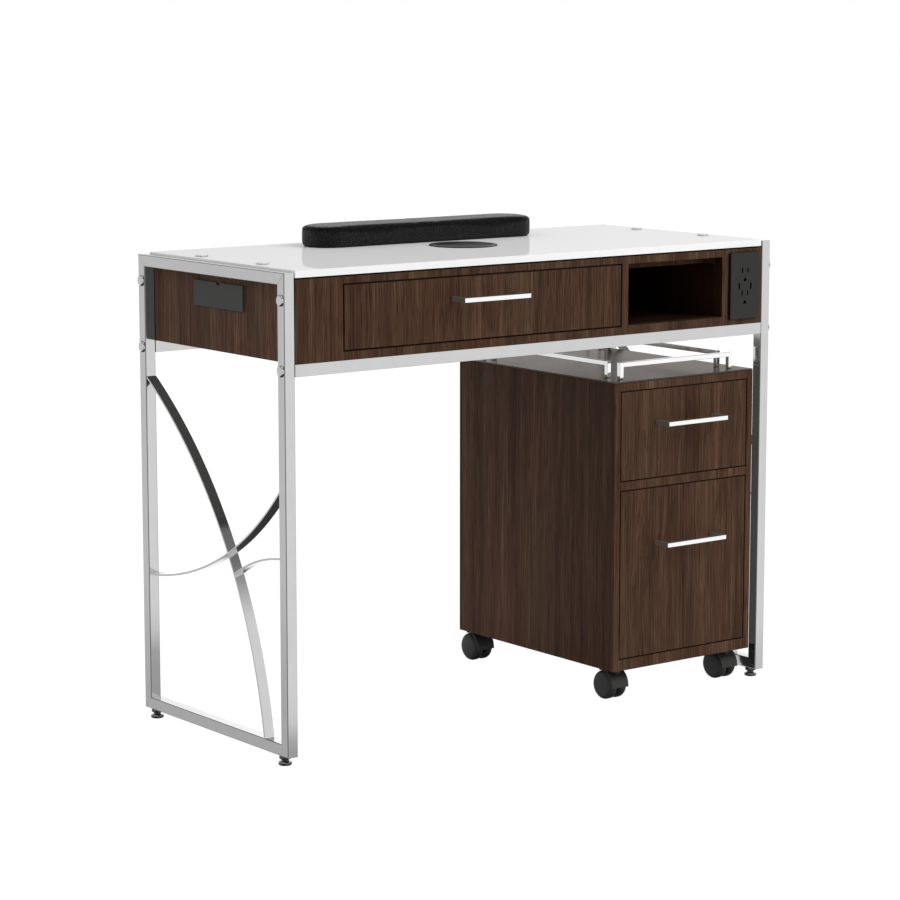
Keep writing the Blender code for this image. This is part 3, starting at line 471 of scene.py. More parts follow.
def moulded(name, colour, roughness=0.5, grain=2600, depth=0.16, specular=0.35):
    """Moulded plastic with a fine spark texture: `grain` is its frequency, `depth` its strength."""
    s = Shade(name)
    coords = s.object_coords()
    spark = s.noise(coords, frequency=grain, detail=2)
    cloud = s.noise(coords, frequency=45, detail=2)
    tint = s.mix(s.span(cloud, between=(0.3, 0.7)), toned(colour, 0.93), toned(colour, 1.06))
    return s.set(
        Base_Color=tint,
        Roughness=s.span(cloud, between=(0.3, 0.7), to=(roughness - 0.05, roughness + 0.05)),
        Specular_IOR_Level=specular,
        Normal=s.bump(spark, strength=depth, distance=0.0002),
    )


def top_sheet():
    """A dark satin metal sheet, drawn along Y, that mirrors the rails softly."""
    s = Shade("cart_top_sheet_metal")
    coords = s.object_coords()
    lines = s.noise(coords, frequency=(900, 14, 900), detail=3, roughness=0.7)
    cloud = s.noise(coords, frequency=12, detail=2)
    browns = (0.084, 0.069, 0.060), (0.094, 0.078, 0.068)
    return s.set(
        Base_Color=s.mix(s.span(cloud, between=(0.3, 0.7)), *browns),
        Metallic=1.0,
        Specular_Tint=(0.43, 0.395, 0.37, 1.0),
        Roughness=s.span(lines, between=(0.3, 0.7), to=(0.15, 0.22)),
        Normal=s.bump(lines, strength=0.03, distance=0.0002),
    )


CHROME = (0.615, 0.617, 0.615)
FRAME_CHROME = metal("frame_chrome", CHROME, roughness=0.11)
# Painted dark reflection on the tube's softened edges.
TUBE_CHROME = metal("tube_chrome", CHROME, roughness=0.11, edge=0.52)
BRIGHT = bright_plate("bright_plate")
# The pulls' ends get a warm painted reflection.
PULL_PLATE = bright_plate("pull_plate", ends=(0.76, 0.70, 0.65))
FIXING = metal("fixing_chrome", (0.66, 0.66, 0.66), roughness=0.09)
# Painted dark reflection on the feet's upright flanks.
FOOT_CHROME = metal("foot_chrome", (0.62, 0.61, 0.60), roughness=0.10, turned=0.14)
ZINC = metal("runner_zinc", (0.52, 0.53, 0.54), roughness=0.30, brushed=(900, 30, 900))
GLASS = white_glass()
VINYL = vinyl()
PLATE_PLASTIC = moulded(
    "plate_plastic", (0.0290, 0.0290, 0.0278), roughness=0.55, specular=0.14)
PLATE_RIM_SHADE = moulded("plate_rim_shade", (0.0070, 0.0070, 0.0068), roughness=0.60, specular=0.05)
COVER_PLASTIC = moulded(
    "cover_plastic", (0.0470, 0.0470, 0.0455), roughness=0.55, specular=0.20)
DARK_PLASTIC = moulded("dark_plastic", (0.020, 0.020, 0.0195), roughness=0.45)
WHEEL_PLASTIC = moulded(
    "wheel_plastic", (0.0250, 0.0255, 0.0245), roughness=0.48, depth=0.10, specular=0.28)
HOOD_PLASTIC = moulded(
    "hood_plastic", (0.0270, 0.0270, 0.0260), roughness=0.44, depth=0.10, specular=0.30)
VENT_PLASTIC = moulded(
    "vent_plastic", (0.0155, 0.0155, 0.0155), roughness=0.38, depth=0.06, specular=0.12)
RECESS_SHADE = moulded("recess_shade", (0.0025, 0.0025, 0.0025), roughness=0.9, specular=0.05)
SHEET = top_sheet()
BOARD = moulded(
    "drawer_board", (0.050, 0.030, 0.021), roughness=0.62, grain=900, depth=0.10, specular=0.20)
FILTER_PAPER = moulded(
    "filter_medium", (0.42, 0.41, 0.38), roughness=0.95, grain=1400, depth=0.5, specular=0.05)


# ---- mesh helpers ------------------------------------------------------------------------------
def linked(name, data):
    made = bpy.data.objects.new(name, data)
    scene.collection.objects.link(made)
    return made


def mesh_object(name, bm):
    data = bpy.data.meshes.new(name)
    bm.to_mesh(data)
    bm.free()
    return linked(name, data)


def bake(made):
    """Replaces an object's mesh with its evaluated one and drops the modifiers."""
    graph = bpy.context.evaluated_depsgraph_get()
    mesh = bpy.data.meshes.new_from_object(made.evaluated_get(graph))
    made.modifiers.clear()
    made.data = mesh
    return mesh


def edge_bevel(made, width, segments, angle):
    modifier = made.modifiers.new("edge", "BEVEL")
    modifier.width = width
    modifier.segments = segments
    modifier.limit_method = "ANGLE"
    modifier.angle_limit = math.radians(angle)
    modifier.use_clamp_overlap = True
    return modifier


def piece(name, bm, skin, body, at=(0, 0, 0), bevel=0.0, segments=3, angle=30.0, smooth=True,
          replaces=None, weighted=False):
    """A finished mesh that rides on a body. Coordinates are the frame's."""
    bmesh.ops.remove_doubles(bm, verts=bm.verts, dist=1e-7)
    bmesh.ops.recalc_face_normals(bm, faces=bm.faces)
    made = mesh_object(name, bm)
    made.location = at
    made.data.materials.append(skin)
    if smooth:
        made.data.shade_smooth()
        made.data.set_sharp_from_angle(angle=math.radians(angle))
    if bevel:
        modifier = edge_bevel(made, bevel, segments, angle)
        modifier.harden_normals = True
        if weighted:
            modifier.limit_method = "WEIGHT"
    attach(made, body)
    if replaces:
        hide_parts(replaces)
    return made


def dress(node, skin, bevel=0.0, segments=2):
    """A CAD node keeps its shape: it gets a finish and softened edges."""
    made = NODES[node]
    if made.material_slots:
        made.material_slots[0].material = skin
    else:
        made.data.materials.append(skin)
    if bevel:
        weld = made.modifiers.new("weld", "WELD")
        weld.merge_threshold = 2e-6
        flat = made.modifiers.new("flat", "DECIMATE")
        flat.decimate_type = "DISSOLVE"
        flat.angle_limit = math.radians(0.6)
        edge_bevel(made, bevel, segments, angle=35.0)
        normals = made.modifiers.new("normals", "WEIGHTED_NORMAL")
        normals.weight = 80
        normals.keep_sharp = False


def box_into(bm, x0, x1, y0, y1, z0, z1):
    verts = bmesh.ops.create_cube(bm, size=1.0)["verts"]
    bmesh.ops.scale(bm, vec=(x1 - x0, y1 - y0, z1 - z0), verts=verts)
    bmesh.ops.translate(bm, vec=((x0 + x1) / 2, (y0 + y1) / 2, (z0 + z1) / 2), verts=verts)


def extrude_into(bm, outline, axis, start, end):
    """A closed prism. The outline is (y, z) for X, (x, z) for Y and (x, y) for Z."""

    def point(u, v, w):
        return {"X": (w, u, v), "Y": (u, w, v), "Z": (u, v, w)}[axis]

    low = [bm.verts.new(point(u, v, start)) for u, v in outline]
    high = [bm.verts.new(point(u, v, end)) for u, v in outline]
    count = len(outline)
    for i in range(count):
        j = (i + 1) % count
        bm.faces.new((low[i], low[j], high[j], high[i]))
    bm.faces.new(list(reversed(low)))
    bm.faces.new(high)


def extruded(outline, axis, start, end):
    bm = bmesh.new()
    extrude_into(bm, outline, axis, start, end)
    return bm


def arc_points(centre, radius, start, end, steps):
    """Points along an arc, angles in degrees."""
    points = []
    for i in range(steps + 1):
        t = math.radians(start + (end - start) * i / steps)
        points.append((centre[0] + radius * math.cos(t), centre[1] + radius * math.sin(t)))
    return points


def rounded(u0, u1, v0, v1, radius, steps):
    """A rectangle with rounded corners."""
    low_u, high_u, low_v, high_v = u0 + radius, u1 - radius, v0 + radius, v1 - radius
    corners = ((high_u, low_v), (high_u, high_v), (low_u, high_v), (low_u, low_v))
    outline = []
    for centre, start in zip(corners, (-90, 0, 90, 180)):
        outline += arc_points(centre, radius, start, start + 90, steps)
    return outline


def lathe(profile, sides, axis="Z"):
    """Turns (radius, height) points about an axis. Radius 0 closes the shape; a profile that never
    reaches the axis is a ring, and is closed on itself."""
    bm = bmesh.new()

    def point(radius, height, t):
        u, v = radius * math.cos(t), radius * math.sin(t)
        return (u, v, height) if axis == "Z" else (height, u, v)

    rings = []
    for radius, height in profile:
        if radius <= 1e-9:
            rings.append([bm.verts.new(point(0, height, 0))])
        else:
            turns = [2 * math.pi * i / sides for i in range(sides)]
            rings.append([bm.verts.new(point(radius, height, t)) for t in turns])
    pairs = list(zip(rings, rings[1:]))
    if len(rings[0]) > 1 and len(rings[-1]) > 1:
        pairs.append((rings[-1], rings[0]))
    for low, high in pairs:
        for i in range(sides):
            j = (i + 1) % sides
            if len(low) == 1:
                bm.faces.new((low[0], high[j], high[i]))
            elif len(high) == 1:
                bm.faces.new((low[i], low[j], high[0]))
            else:
                bm.faces.new((low[i], low[j], high[j], high[i]))
    return bm


# ---- end frames --------------------------------------------------------------------------------
# Arcs of the flat bars: (centre Y from the desk's centre plane, centre Z, radius).
SWEEP = (0.6410, -0.0879, 0.7935)
CRADLE = (0.2308, 0.8065, 0.5671)
BRANCH = (-0.2202, 0.0261, 0.2993)
BRANCH_END_Y = -0.0610
BAR_THICKNESS = 0.003


def end_frame(side, sign):
    """Four lengths of square tube, mitred and welded at the corners."""
    x0, x1 = sorted((sign * HALF_LENGTH, sign * (HALF_LENGTH - TUBE)))
    y0, y1, z0, z1, t = FRONT_Y, BACK_Y, FRAME_BOTTOM, FRAME_TOP, TUBE
    # Outlines of (y, z).
    members = {
        "front_post": [(y0, z0), (y0 + t, z0 + t), (y0 + t, z1 - t), (y0, z1)],
        "back_post": [(y1, z0), (y1, z1), (y1 - t, z1 - t), (y1 - t, z0 + t)],
        "bottom_rail": [(y0, z0), (y1, z0), (y1 - t, z0 + t), (y0 + t, z0 + t)],
        "top_rail": [(y0, z1), (y0 + t, z1 - t), (y1 - t, z1 - t), (y1, z1)],
    }
    for name, outline in members.items():
        bm = extruded(outline, "X", x0, x1)
        # The edges round the mitres stay almost sharp.
        weight = bm.edges.layers.float.new("bevel_weight_edge")
        for edge in bm.edges:
            a, b = edge.verts
            run = b.co - a.co
            slant = abs(abs(run.y) - abs(run.z)) < 1e-5 and abs(run.x) < 1e-6
            across = abs(run.x) > 0.01
            edge[weight] = 0.12 if (slant or across) else 1.0
        piece(f"{side}_frame_{name}", bm, TUBE_CHROME, "desk", bevel=0.0018,
                          segments=5, weighted=True)
    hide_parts(f"{side}_end_frame")


def flat_arc(name, arc, start, end, x0, x1, steps, replaces=None):
    """A flat bar bent to an arc in the YZ plane, with softened edges."""
    centre_y, centre_z, radius = arc
    outer, inner = radius + BAR_THICKNESS / 2, radius - BAR_THICKNESS / 2
    bm = bmesh.new()
    rings = []
    for i in range(steps + 1):
        t = math.radians(start + (end - start) * i / steps)
        c, s = math.cos(t), math.sin(t)
        section = ((x0, outer), (x1, outer), (x1, inner), (x0, inner))
        rings.append([bm.verts.new((x, centre_y + DESK_Y + r * c, centre_z + r * s))
                      for x, r in section])
    for here, there in zip(rings, rings[1:]):
        for k in range(4):
            m = (k + 1) % 4
            bm.faces.new((here[k], here[m], there[m], there[k]))
    bm.faces.new(list(reversed(rings[0])))
    bm.faces.new(rings[-1])
    piece(name, bm, FRAME_CHROME, "desk", bevel=0.0005, angle=40, replaces=replaces)


def angle_at_y(arc, y, half=1):
    """Where an arc passes y, in degrees; `half` is 1 for its upper half, -1 for its lower one."""
    centre_y, _, radius = arc
    rise = math.sqrt(radius * radius - (y - centre_y) ** 2) * half
    return math.degrees(math.atan2(rise, y - centre_y))


def front_angle_at_z(arc, z):
    """Where the front half of an arc passes z, in degrees."""
    _, centre_z, radius = arc
    run = -math.sqrt(radius * radius - (z - centre_z) ** 2)
    return math.degrees(math.atan2(z - centre_z, run))


def curved_brace(side, sign):
    """Three bent bars between the tubes, each a hair narrower than the one before."""
    inset = 0.0006
    x0, x1 = sorted((sign * (HALF_LENGTH - inset), sign * (HALF_LENGTH - TUBE + inset)))
    edge = HALF_DEPTH - TUBE
    flat_arc(f"{side}_brace_sweep", SWEEP, angle_at_y(SWEEP, edge - 0.0009),
             front_angle_at_z(SWEEP, FRAME_BOTTOM + TUBE + 0.0008), x0, x1, steps=90,
             replaces=f"{side}_curved_brace")
    flat_arc(f"{side}_brace_cradle", CRADLE, angle_at_y(CRADLE, -edge + 0.0009, half=-1),
             angle_at_y(CRADLE, edge - 0.0002, half=-1), x0 + 0.0002, x1 - 0.0002, steps=64)
    flat_arc(f"{side}_brace_branch", BRANCH, angle_at_y(BRANCH, -edge + 0.0002),
             angle_at_y(BRANCH, BRANCH_END_Y), x0 + 0.0004, x1 - 0.0004, steps=28)


def frame_bolt(name, sign, y, z):
    """A polished domed cap on its shank."""
    radius, height, rim, shank = 0.0090, 0.0042, 0.0011, 0.0030
    shank_end = -TUBE - 0.0130
    profile = [(0, shank_end), (shank, shank_end), (shank, 0.0), (radius - 0.0003, 0.0),
               (radius, 0.0003), (radius, rim)]
    for degrees in range(6, 90, 7):
        t = math.radians(degrees)
        profile.append((radius * math.cos(t) * 0.985, rim + (height - rim) * math.sin(t)))
    profile.append((0, height))
    bm = lathe(profile, 48, "X")
    if sign < 0:
        bmesh.ops.scale(bm, vec=(-1, 1, 1), verts=bm.verts)
    piece(name + "_cap", bm, FIXING, "desk", at=(sign * (HALF_LENGTH + GAP), y, z), angle=40,
          replaces=name)


def levelling_foot(side, where, x, y):
    """A turned pad with a collar and a jam nut on its stem."""
    name = f"levelling_foot_{side}_{where}"
    # (radius, height)
    profile = [(0, 0), (0.0096, 0), (0.0104, 0.0008), (0.0105, 0.0018)]
    for degrees in (0, 25, 50, 75, 90):
        t = math.radians(degrees)
        profile.append((0.0086 + 0.0019 * math.cos(t), 0.0032 + 0.0026 * math.sin(t)))
    profile += [
        (0.0066, 0.0062), (0.0059, 0.0070), (0.0058, 0.0086), (0.0064, 0.0092),
        (0.0078, 0.0094), (0.0090, 0.0100), (0.0093, 0.0110), (0.0093, 0.0134),
        (0.0088, 0.0145), (0.0042, 0.0146), (0.0040, 0.0147), (0.0040, 0.0305),
        (0.0034, 0.0310), (0, 0.0310),
    ]
    piece(name + "_turned", lathe(profile, 48), FOOT_CHROME, f"foot_{side}_{where}",
          at=(x, y, 0), angle=35, replaces=name)


BOLT_LEVELS = (("upper", 0.720), ("lower", 0.6130))
FOOT_Y = 0.187                    # from the desk's centre plane

for side, sign in SIDES:
    end_frame(side, sign)
    curved_brace(side, sign)
    for where, end in ENDS:
        for level, z in BOLT_LEVELS:
            y = DESK_Y + end * (HALF_DEPTH - TUBE / 2)
            frame_bolt(f"bolt_{side}_{where}_{level}", sign, y, z)
        levelling_foot(side, where, sign * (HALF_LENGTH - TUBE / 2), DESK_Y + end * FOOT_Y)
for rail in ("front_rail", "back_rail"):
    dress(rail, TUBE_CHROME, bevel=0.0014, segments=3)

# ---- apron -------------------------------------------------------------------------------------
apron_mouth = mouth_light(FRONT_Y, x_range=(-0.45, 0.405), z_range=(0.630, 0.750))
dress("apron_face_frame", walnut("walnut_face_frame", seed=1.0, light=apron_mouth), bevel=0.0009)
dress("apron_back_panel", walnut("walnut_back", seed=2.0), bevel=0.0006)
dress("apron_left_panel", walnut("walnut_left_end", seed=3.0, tone=1.24), bevel=0.0004)
dress("apron_right_panel", walnut("walnut_right_end", seed=4.0), bevel=0.0006)
dress("apron_top_panel", walnut("walnut_top", seed=5.0))
dress("apron_bottom_panel", walnut("walnut_bottom", seed=6.0))
cubby_walnut = walnut("walnut_cubby", seed=7.0, tone=0.95, light=cubby_light, specular=0.0)
dress("cubby_box", cubby_walnut, bevel=0.0003)
desk_drawer_walnut = drawer_walnut("walnut_desk_drawer", seed=8.0, tone=1.00)
dress("desk_drawer_front", desk_drawer_walnut, bevel=0.0010)
dress("desk_drawer_box", BOARD, bevel=0.0006)
dress("desk_drawer_pull", PULL_PLATE, bevel=0.0007, segments=3)

# ---- outlet ------------------------------------------------------------------------------------
OUTLET_X, OUTLET_Z = 0.4362, 0.6888
OUTLET_BACK = FRONT_Y - GAP
OUTLET_FACE = OUTLET_BACK - 0.0064
RECEPTACLES = ((0.7148, 0.6991), (0.6764, 0.6608))       # (blade slots' Z, ground hole's Z)
BLADES = ((-0.00635, 0.0040), (0.00635, 0.0034))         # (X from the centre, half height)
SIDE_SLOT_Z = 0.6882


def outlet_cutter():
    """All the slots of the outlet as one object."""
    x = OUTLET_X
    front, deep = OUTLET_FACE - 0.004, OUTLET_FACE + 0.0045
    cuts = bmesh.new()
    for slot_z, ground_z in RECEPTACLES:
        for dx, half in BLADES:
            box_into(cuts, x + dx - 0.0015, x + dx + 0.0015, front, deep,
                     slot_z - half - 0.0005, slot_z + half + 0.0005)
        dome = [(x - 0.0033, ground_z - 0.0028), (x + 0.0033, ground_z - 0.0028)]
        dome += arc_points((x, ground_z), 0.0029, 15, 165, 10)
        extrude_into(cuts, dome, "Y", front, deep)
    for dx in (-0.0133, 0.0133):
        box_into(cuts, x + dx - 0.0017, x + dx + 0.0017, front, deep,
                 SIDE_SLOT_Z - 0.0055, SIDE_SLOT_Z + 0.0055)
    bmesh.ops.recalc_face_normals(cuts, faces=cuts.faces)
    return mesh_object("outlet_cuts", cuts)


def outlet():
    """A rounded plate with its slots cut, and a body behind it in near-black painted shade."""
    x, z, half_width, half_height = OUTLET_X, OUTLET_Z, 0.0325, 0.05625
    outline = rounded(x - half_width, x + half_width, z - half_height, z + half_height,
                      radius=0.0016, steps=5)
    plate = piece("outlet_plate", extruded(outline, "Y", OUTLET_BACK, OUTLET_FACE),
                  PLATE_PLASTIC, "desk", bevel=0.0011, angle=50, replaces="power_outlet")
    cutter = outlet_cutter()
    modifier = plate.modifiers.new("slots", "BOOLEAN")
    modifier.operation = "DIFFERENCE"
    modifier.solver = "EXACT"
    modifier.object = cutter
    bpy.context.view_layer.update()
    solid = bake(plate)
    solid.materials.clear()
    for skin in (PLATE_PLASTIC, RECESS_SHADE, PLATE_RIM_SHADE):
        solid.materials.append(skin)
    # The slot walls get near-black painted shade; the plate's rim gets painted shade, darker than
    # its face.
    for face in solid.polygons:
        u, depth, v = face.center
        inside = abs(u - x) < 0.0170 and abs(v - z) < 0.0340
        walls = inside and OUTLET_FACE + 0.0004 < depth < OUTLET_BACK - 0.0004
        face.material_index = 1 if walls else 0
        if not inside and abs(face.normal.y) < 0.55:
            face.material_index = 2
    bpy.data.objects.remove(cutter, do_unlink=True)
    body = bmesh.new()
    box_into(body, x - 0.0226, x + 0.0226, OUTLET_FACE + 0.0044, DESK_Y - 0.168,
             z - 0.0346, z + 0.0346)
    piece("outlet_body", body, RECESS_SHADE, "desk", bevel=0.0008)


outlet()

# ---- glass top, fixings and vent ---------------------------------------------------------------
GLASS_HALF_LENGTH = 0.4800
BORE_RADIUS = 0.0528
FIXING_X, FIXING_Y = 0.4562, 0.0867      # from the desk's centre


def glass_top():
    """A slab with rounded corners and ground edges, bored for the vent."""
    # (X side, Y side, corner radius, start angle)
    corners = ((1, -1, 0.003, -90), (1, 1, 0.005, 0), (-1, 1, 0.005, 90), (-1, -1, 0.003, 180))
    outline = []
    for side_x, side_y, radius, start in corners:
        centre = (side_x * (GLASS_HALF_LENGTH - radius), DESK_Y + side_y * (HALF_DEPTH - radius))
        outline += arc_points(centre, radius, start, start + 90, 12)
    turns = [2 * math.pi * i / 96 for i in range(96)]
    bore = [(BORE_RADIUS * math.cos(t), DESK_Y + BORE_RADIUS * math.sin(t)) for t in turns]
    bm = bmesh.new()
    edges = []
    for loop in (outline, bore):
        ring = [bm.verts.new((u, v, GLASS_BOTTOM)) for u, v in loop]
        edges += [bm.edges.new((ring[i], ring[(i + 1) % len(ring)])) for i in range(len(ring))]
    bmesh.ops.triangle_fill(bm, use_beauty=True, use_dissolve=False, edges=edges)
    grown = bmesh.ops.extrude_face_region(bm, geom=list(bm.faces) + list(bm.edges))
    raised = [g for g in grown["geom"] if isinstance(g, bmesh.types.BMVert)]
    bmesh.ops.translate(bm, vec=(0, 0, GLASS_TOP - GLASS_BOTTOM), verts=raised)
    piece("glass_slab", bm, GLASS, "desk", bevel=0.0011, segments=4, angle=50,
          replaces="glass_top")


def glass_fixing(name, x, y):
    """A flat disc on a shank through the glass."""
    # (radius, height above the glass)
    profile = [
        (0, -0.0200), (0.0030, -0.0200), (0.0030, 0.0), (0.0098, 0.0), (0.0100, 0.0002),
        (0.0100, 0.0019), (0.0098, 0.0023), (0.0094, 0.0024), (0, 0.0024),
    ]
    piece(name + "_disc", lathe(profile, 56), FIXING, "desk", at=(x, y, GLASS_TOP + GAP),
          angle=35, replaces=name)


def vent_ring(base):
    # (radius, Z); the ring's neck goes down through the bore.
    profile = [
        (0.0485, base + 0.0003), (0.0500, 0.7420), (0.0515, 0.7420), (0.0515, base),
        (0.0566, base), (0.0570, base + 0.0004), (0.0566, base + 0.0012),
        (0.0550, base + 0.0018), (0.0525, base + 0.0020), (0.0495, base + 0.0018),
        (0.0485, base + 0.0013),
    ]
    piece("vent_ring", lathe(profile, 96), VENT_PLASTIC, "desk", at=(0, DESK_Y, 0), angle=40,
          replaces="vent_grille")


def vent_disc(base):
    """Hexagonal cells, each with a round hole, that share their borders."""
    pitch, hole, corners = 0.0050, 0.0017, 12
    reach, disc_radius = 0.050, 0.0478
    hexagon_radius = pitch / math.sqrt(3)
    rows = int(reach / (pitch * math.sqrt(3) / 2)) + 1
    bm = bmesh.new()
    for j in range(-rows, rows + 1):
        for i in range(-12, 13):
            x = (i + (0.5 if j % 2 else 0.0)) * pitch
            y = j * pitch * math.sqrt(3) / 2
            if math.hypot(x, y) > disc_radius:
                continue
            border, rim = [], []
            for k in range(corners):
                t = 2 * math.pi * k / corners + math.pi / 6
                out = hexagon_radius if k % 2 == 0 else pitch / 2
                border.append((x + out * math.cos(t), y + out * math.sin(t)))
                rim.append((x + hole * math.cos(t), y + hole * math.sin(t)))
            (top_border, top_rim), (low_border, low_rim) = [
                [[bm.verts.new((u, v, z)) for u, v in loop] for loop in (border, rim)]
                for z in (base + 0.0011, base + 0.0001)
            ]
            for k in range(corners):
                m = (k + 1) % corners
                bm.faces.new((top_border[k], top_border[m], top_rim[m], top_rim[k]))
                bm.faces.new((low_border[m], low_border[k], low_rim[k], low_rim[m]))
                bm.faces.new((top_rim[k], top_rim[m], low_rim[m], low_rim[k]))
    bmesh.ops.remove_doubles(bm, verts=bm.verts, dist=1e-5)
    open_edges = [e for e in bm.edges if len(e.link_faces) == 1]
    bmesh.ops.bridge_loops(bm, edges=open_edges)
    piece("vent_perforated_disc", bm, VENT_PLASTIC, "desk", at=(0, DESK_Y, 0), angle=40)


glass_top()
for side, sign in SIDES:
    for where, end in ENDS:
        glass_fixing(f"glass_fixing_{side}_{where}", sign * FIXING_X, DESK_Y + end * FIXING_Y)
vent_ring(GLASS_TOP + GAP)
vent_disc(GLASS_TOP + GAP)
for node in ("fan_housing", "fan_rotor"):
    dress(node, DARK_PLASTIC)


# ---- filter tray -------------------------------------------------------------------------------
def filter_tray():
    """The tray keeps its CAD shape. A pleated filter in a rim lies in it."""
    dress("filter_tray", COVER_PLASTIC, bevel=0.0006, segments=3)
    x0, x1, z0, z1 = -0.4775, -0.3490, 0.6953, 0.7160
    y0, y1 = DESK_Y - 0.0625, DESK_Y + 0.0625
    wall = 0.002
    pleats = 26
    top, bottom = [], []
    for i in range(pleats * 2 + 1):
        x = x0 + (x1 - x0) * i / (pleats * 2)
        crest = i % 2
        top.append((x, z1 - 0.0003 if crest else z0 + 0.0060))
        bottom.append((x, z1 - 0.0013 if crest else z0 + 0.0050))
    bm = extruded(top + list(reversed(bottom)), "Y", y0 + wall, y1 - wall)
    piece("filter_pleats", bm, FILTER_PAPER, "filter", smooth=False)
    rim = bmesh.new()
    walls = (
        (x0, x1, y0, y0 + wall),
        (x0, x1, y1 - wall, y1),
        (x0 - 0.0004, x0 + 0.0016, y0 + wall, y1 - wall),
        (x1 - 0.0016, x1 + 0.0004, y0 + wall, y1 - wall),
    )
    for limits in walls:
        box_into(rim, *limits, z0, z1 + 0.0010)
    piece("filter_rim", rim, DARK_PLASTIC, "filter", bevel=0.0003, segments=1)


filter_tray()

# ---- arm rest ----------------------------------------------------------------------------------
PAD_LENGTH, PAD_WIDTH, PAD_TOP = 0.457, 0.090, 0.7987
PAD_Y = DESK_Y + 0.124
CLOTH_FRAMES = 20


def pad_block():
    """The pad's firm core, a little under size, with rounded rims."""
    base = GLASS_TOP + GAP
    half_length, half_width = PAD_LENGTH / 2 - 0.0012, PAD_WIDTH / 2 - 0.0012
    outline = rounded(-half_length, half_length, -half_width, half_width, radius=0.0385, steps=14)
    bm = extruded(outline, "Z", 0.0, PAD_TOP - base + 0.0002)
    bmesh.ops.recalc_face_normals(bm, faces=bm.faces)
    upper = [e for e in bm.edges if all(v.co.z > 0.02 for v in e.verts)]
    bmesh.ops.bevel(bm, geom=upper, offset=0.0062, segments=5, affect="EDGES", profile=0.5)
    lower = [e for e in bm.edges if all(v.co.z < 0.001 for v in e.verts)]
    bmesh.ops.bevel(bm, geom=lower, offset=0.0022, segments=2, affect="EDGES", profile=0.5)
    made = mesh_object("arm_rest_pad", bm)
    made.location = (0.0, PAD_Y, base)
    return made


def swell(made):
    """Blows the pad up a little as cloth, then holds the swelling to a small depth."""
    remesh = made.modifiers.new("voxels", "REMESH")
    remesh.mode = "VOXEL"
    remesh.voxel_size = 0.0042
    bpy.context.view_layer.update()
    rest = [v.co.copy() for v in bake(made).vertices]
    cloth = made.modifiers.new("cloth", "CLOTH")
    settings = cloth.settings
    settings.quality = 6
    settings.mass = 0.3
    settings.tension_stiffness = 30
    settings.compression_stiffness = 30
    settings.shear_stiffness = 10
    settings.bending_stiffness = 1.0
    settings.use_pressure = True
    settings.uniform_pressure_force = 2.0
    settings.effector_weights.gravity = 0.0
    cloth.point_cache.frame_start = 1
    cloth.point_cache.frame_end = CLOTH_FRAMES
    for step in range(1, CLOTH_FRAMES + 1):
        scene.frame_set(step)
    swollen = bake(made)
    scene.frame_set(1)
    most, foot = 0.0018, 0.0030   # largest move; height below which the pad only spreads
    for vertex, before in zip(swollen.vertices, rest):
        move = vertex.co - before
        if move.length > most:
            move = move.normalized() * most
        low = before.z < foot
        moved = before + (Vector((move.x, move.y, 0.0)) if low else move)
        moved.z = max(moved.z, 0.0)
        vertex.co = moved
    relax = made.modifiers.new("relax", "SMOOTH")
    relax.factor = 0.5
    relax.iterations = 3


def arm_rest():
    """A firm upholstered pad, flat underneath."""
    made = pad_block()
    swell(made)
    surface = made.modifiers.new("smooth", "SUBSURF")
    surface.levels = surface.render_levels = 1
    made.data.materials.clear()
    made.data.materials.append(VINYL)
    made.data.shade_smooth()
    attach(made, "desk")
    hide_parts("arm_rest")


arm_rest()

# ---- rolling cart ------------------------------------------------------------------------------
cart_mouth = mouth_light(CART_FRONT_Y, x_range=(0.1615, 0.4645), z_range=(0.060, 0.540))
# Painted shade on the cart's softened edges.
cart_walnut = walnut("walnut_cart", seed=11.0, tone=1.14, light=cart_mouth, edge=0.5)
dress("cart_carcass", cart_walnut, bevel=0.0009)
dress("cart_back_panel", walnut("walnut_cart_back", seed=12.0), bevel=0.0005)
for level, seed, tone in (("upper", 13.0, 1.04), ("lower", 14.0, 1.12)):
    skin = drawer_walnut(f"walnut_cart_{level}", seed, tone)
    dress(f"cart_{level}_drawer_front", skin, bevel=0.0010)
dress("cart_top_sheet", SHEET, bevel=0.0006, segments=3)
for level in ("upper", "lower"):
    dress(f"cart_{level}_drawer_box", BOARD, bevel=0.0006)
    dress(f"cart_{level}_drawer_pull", PULL_PLATE, bevel=0.0007, segments=3)
for where in ("front", "back", "left", "right"):
    dress(f"gallery_rail_{where}", BRIGHT, bevel=0.0007, segments=3)

# ---- casters -----------------------------------------------------------------------------------
WHEEL_RADIUS = 0.0245
WHEEL_INNER, WHEEL_OUTER = 0.0038, 0.0210    # a wheel's faces, along the axle
CASTER_TRAIL = 0.015                         # from the stem back to the axle
CASTER_ROWS = (("front", -0.178 + DESK_Y), ("back", 0.188 + DESK_Y))
CASTER_COLUMNS = (("left", 0.188), ("right", 0.438))


def wheel_profile():
    """One wheel's section, from its inner face out to its flat cap: (radius, along the axle)."""
    r, inner, outer = WHEEL_RADIUS, WHEEL_INNER, WHEEL_OUTER
    return [
        (0.0032, inner), (r - 0.0024, inner), (r - 0.0010, inner + 0.0004),
        (r - 0.0003, inner + 0.0014), (r, inner + 0.0032), (r, outer - 0.0086),
        (r - 0.0006, outer - 0.0062), (r - 0.0018, outer - 0.0042), (r - 0.0034, outer - 0.0028),
        (r - 0.0040, outer - 0.0027), (r - 0.0043, outer - 0.0019), (r - 0.0052, outer - 0.0014),
        (r - 0.0100, outer - 0.0006), (r - 0.0160, outer - 0.0001), (0, outer),
    ]


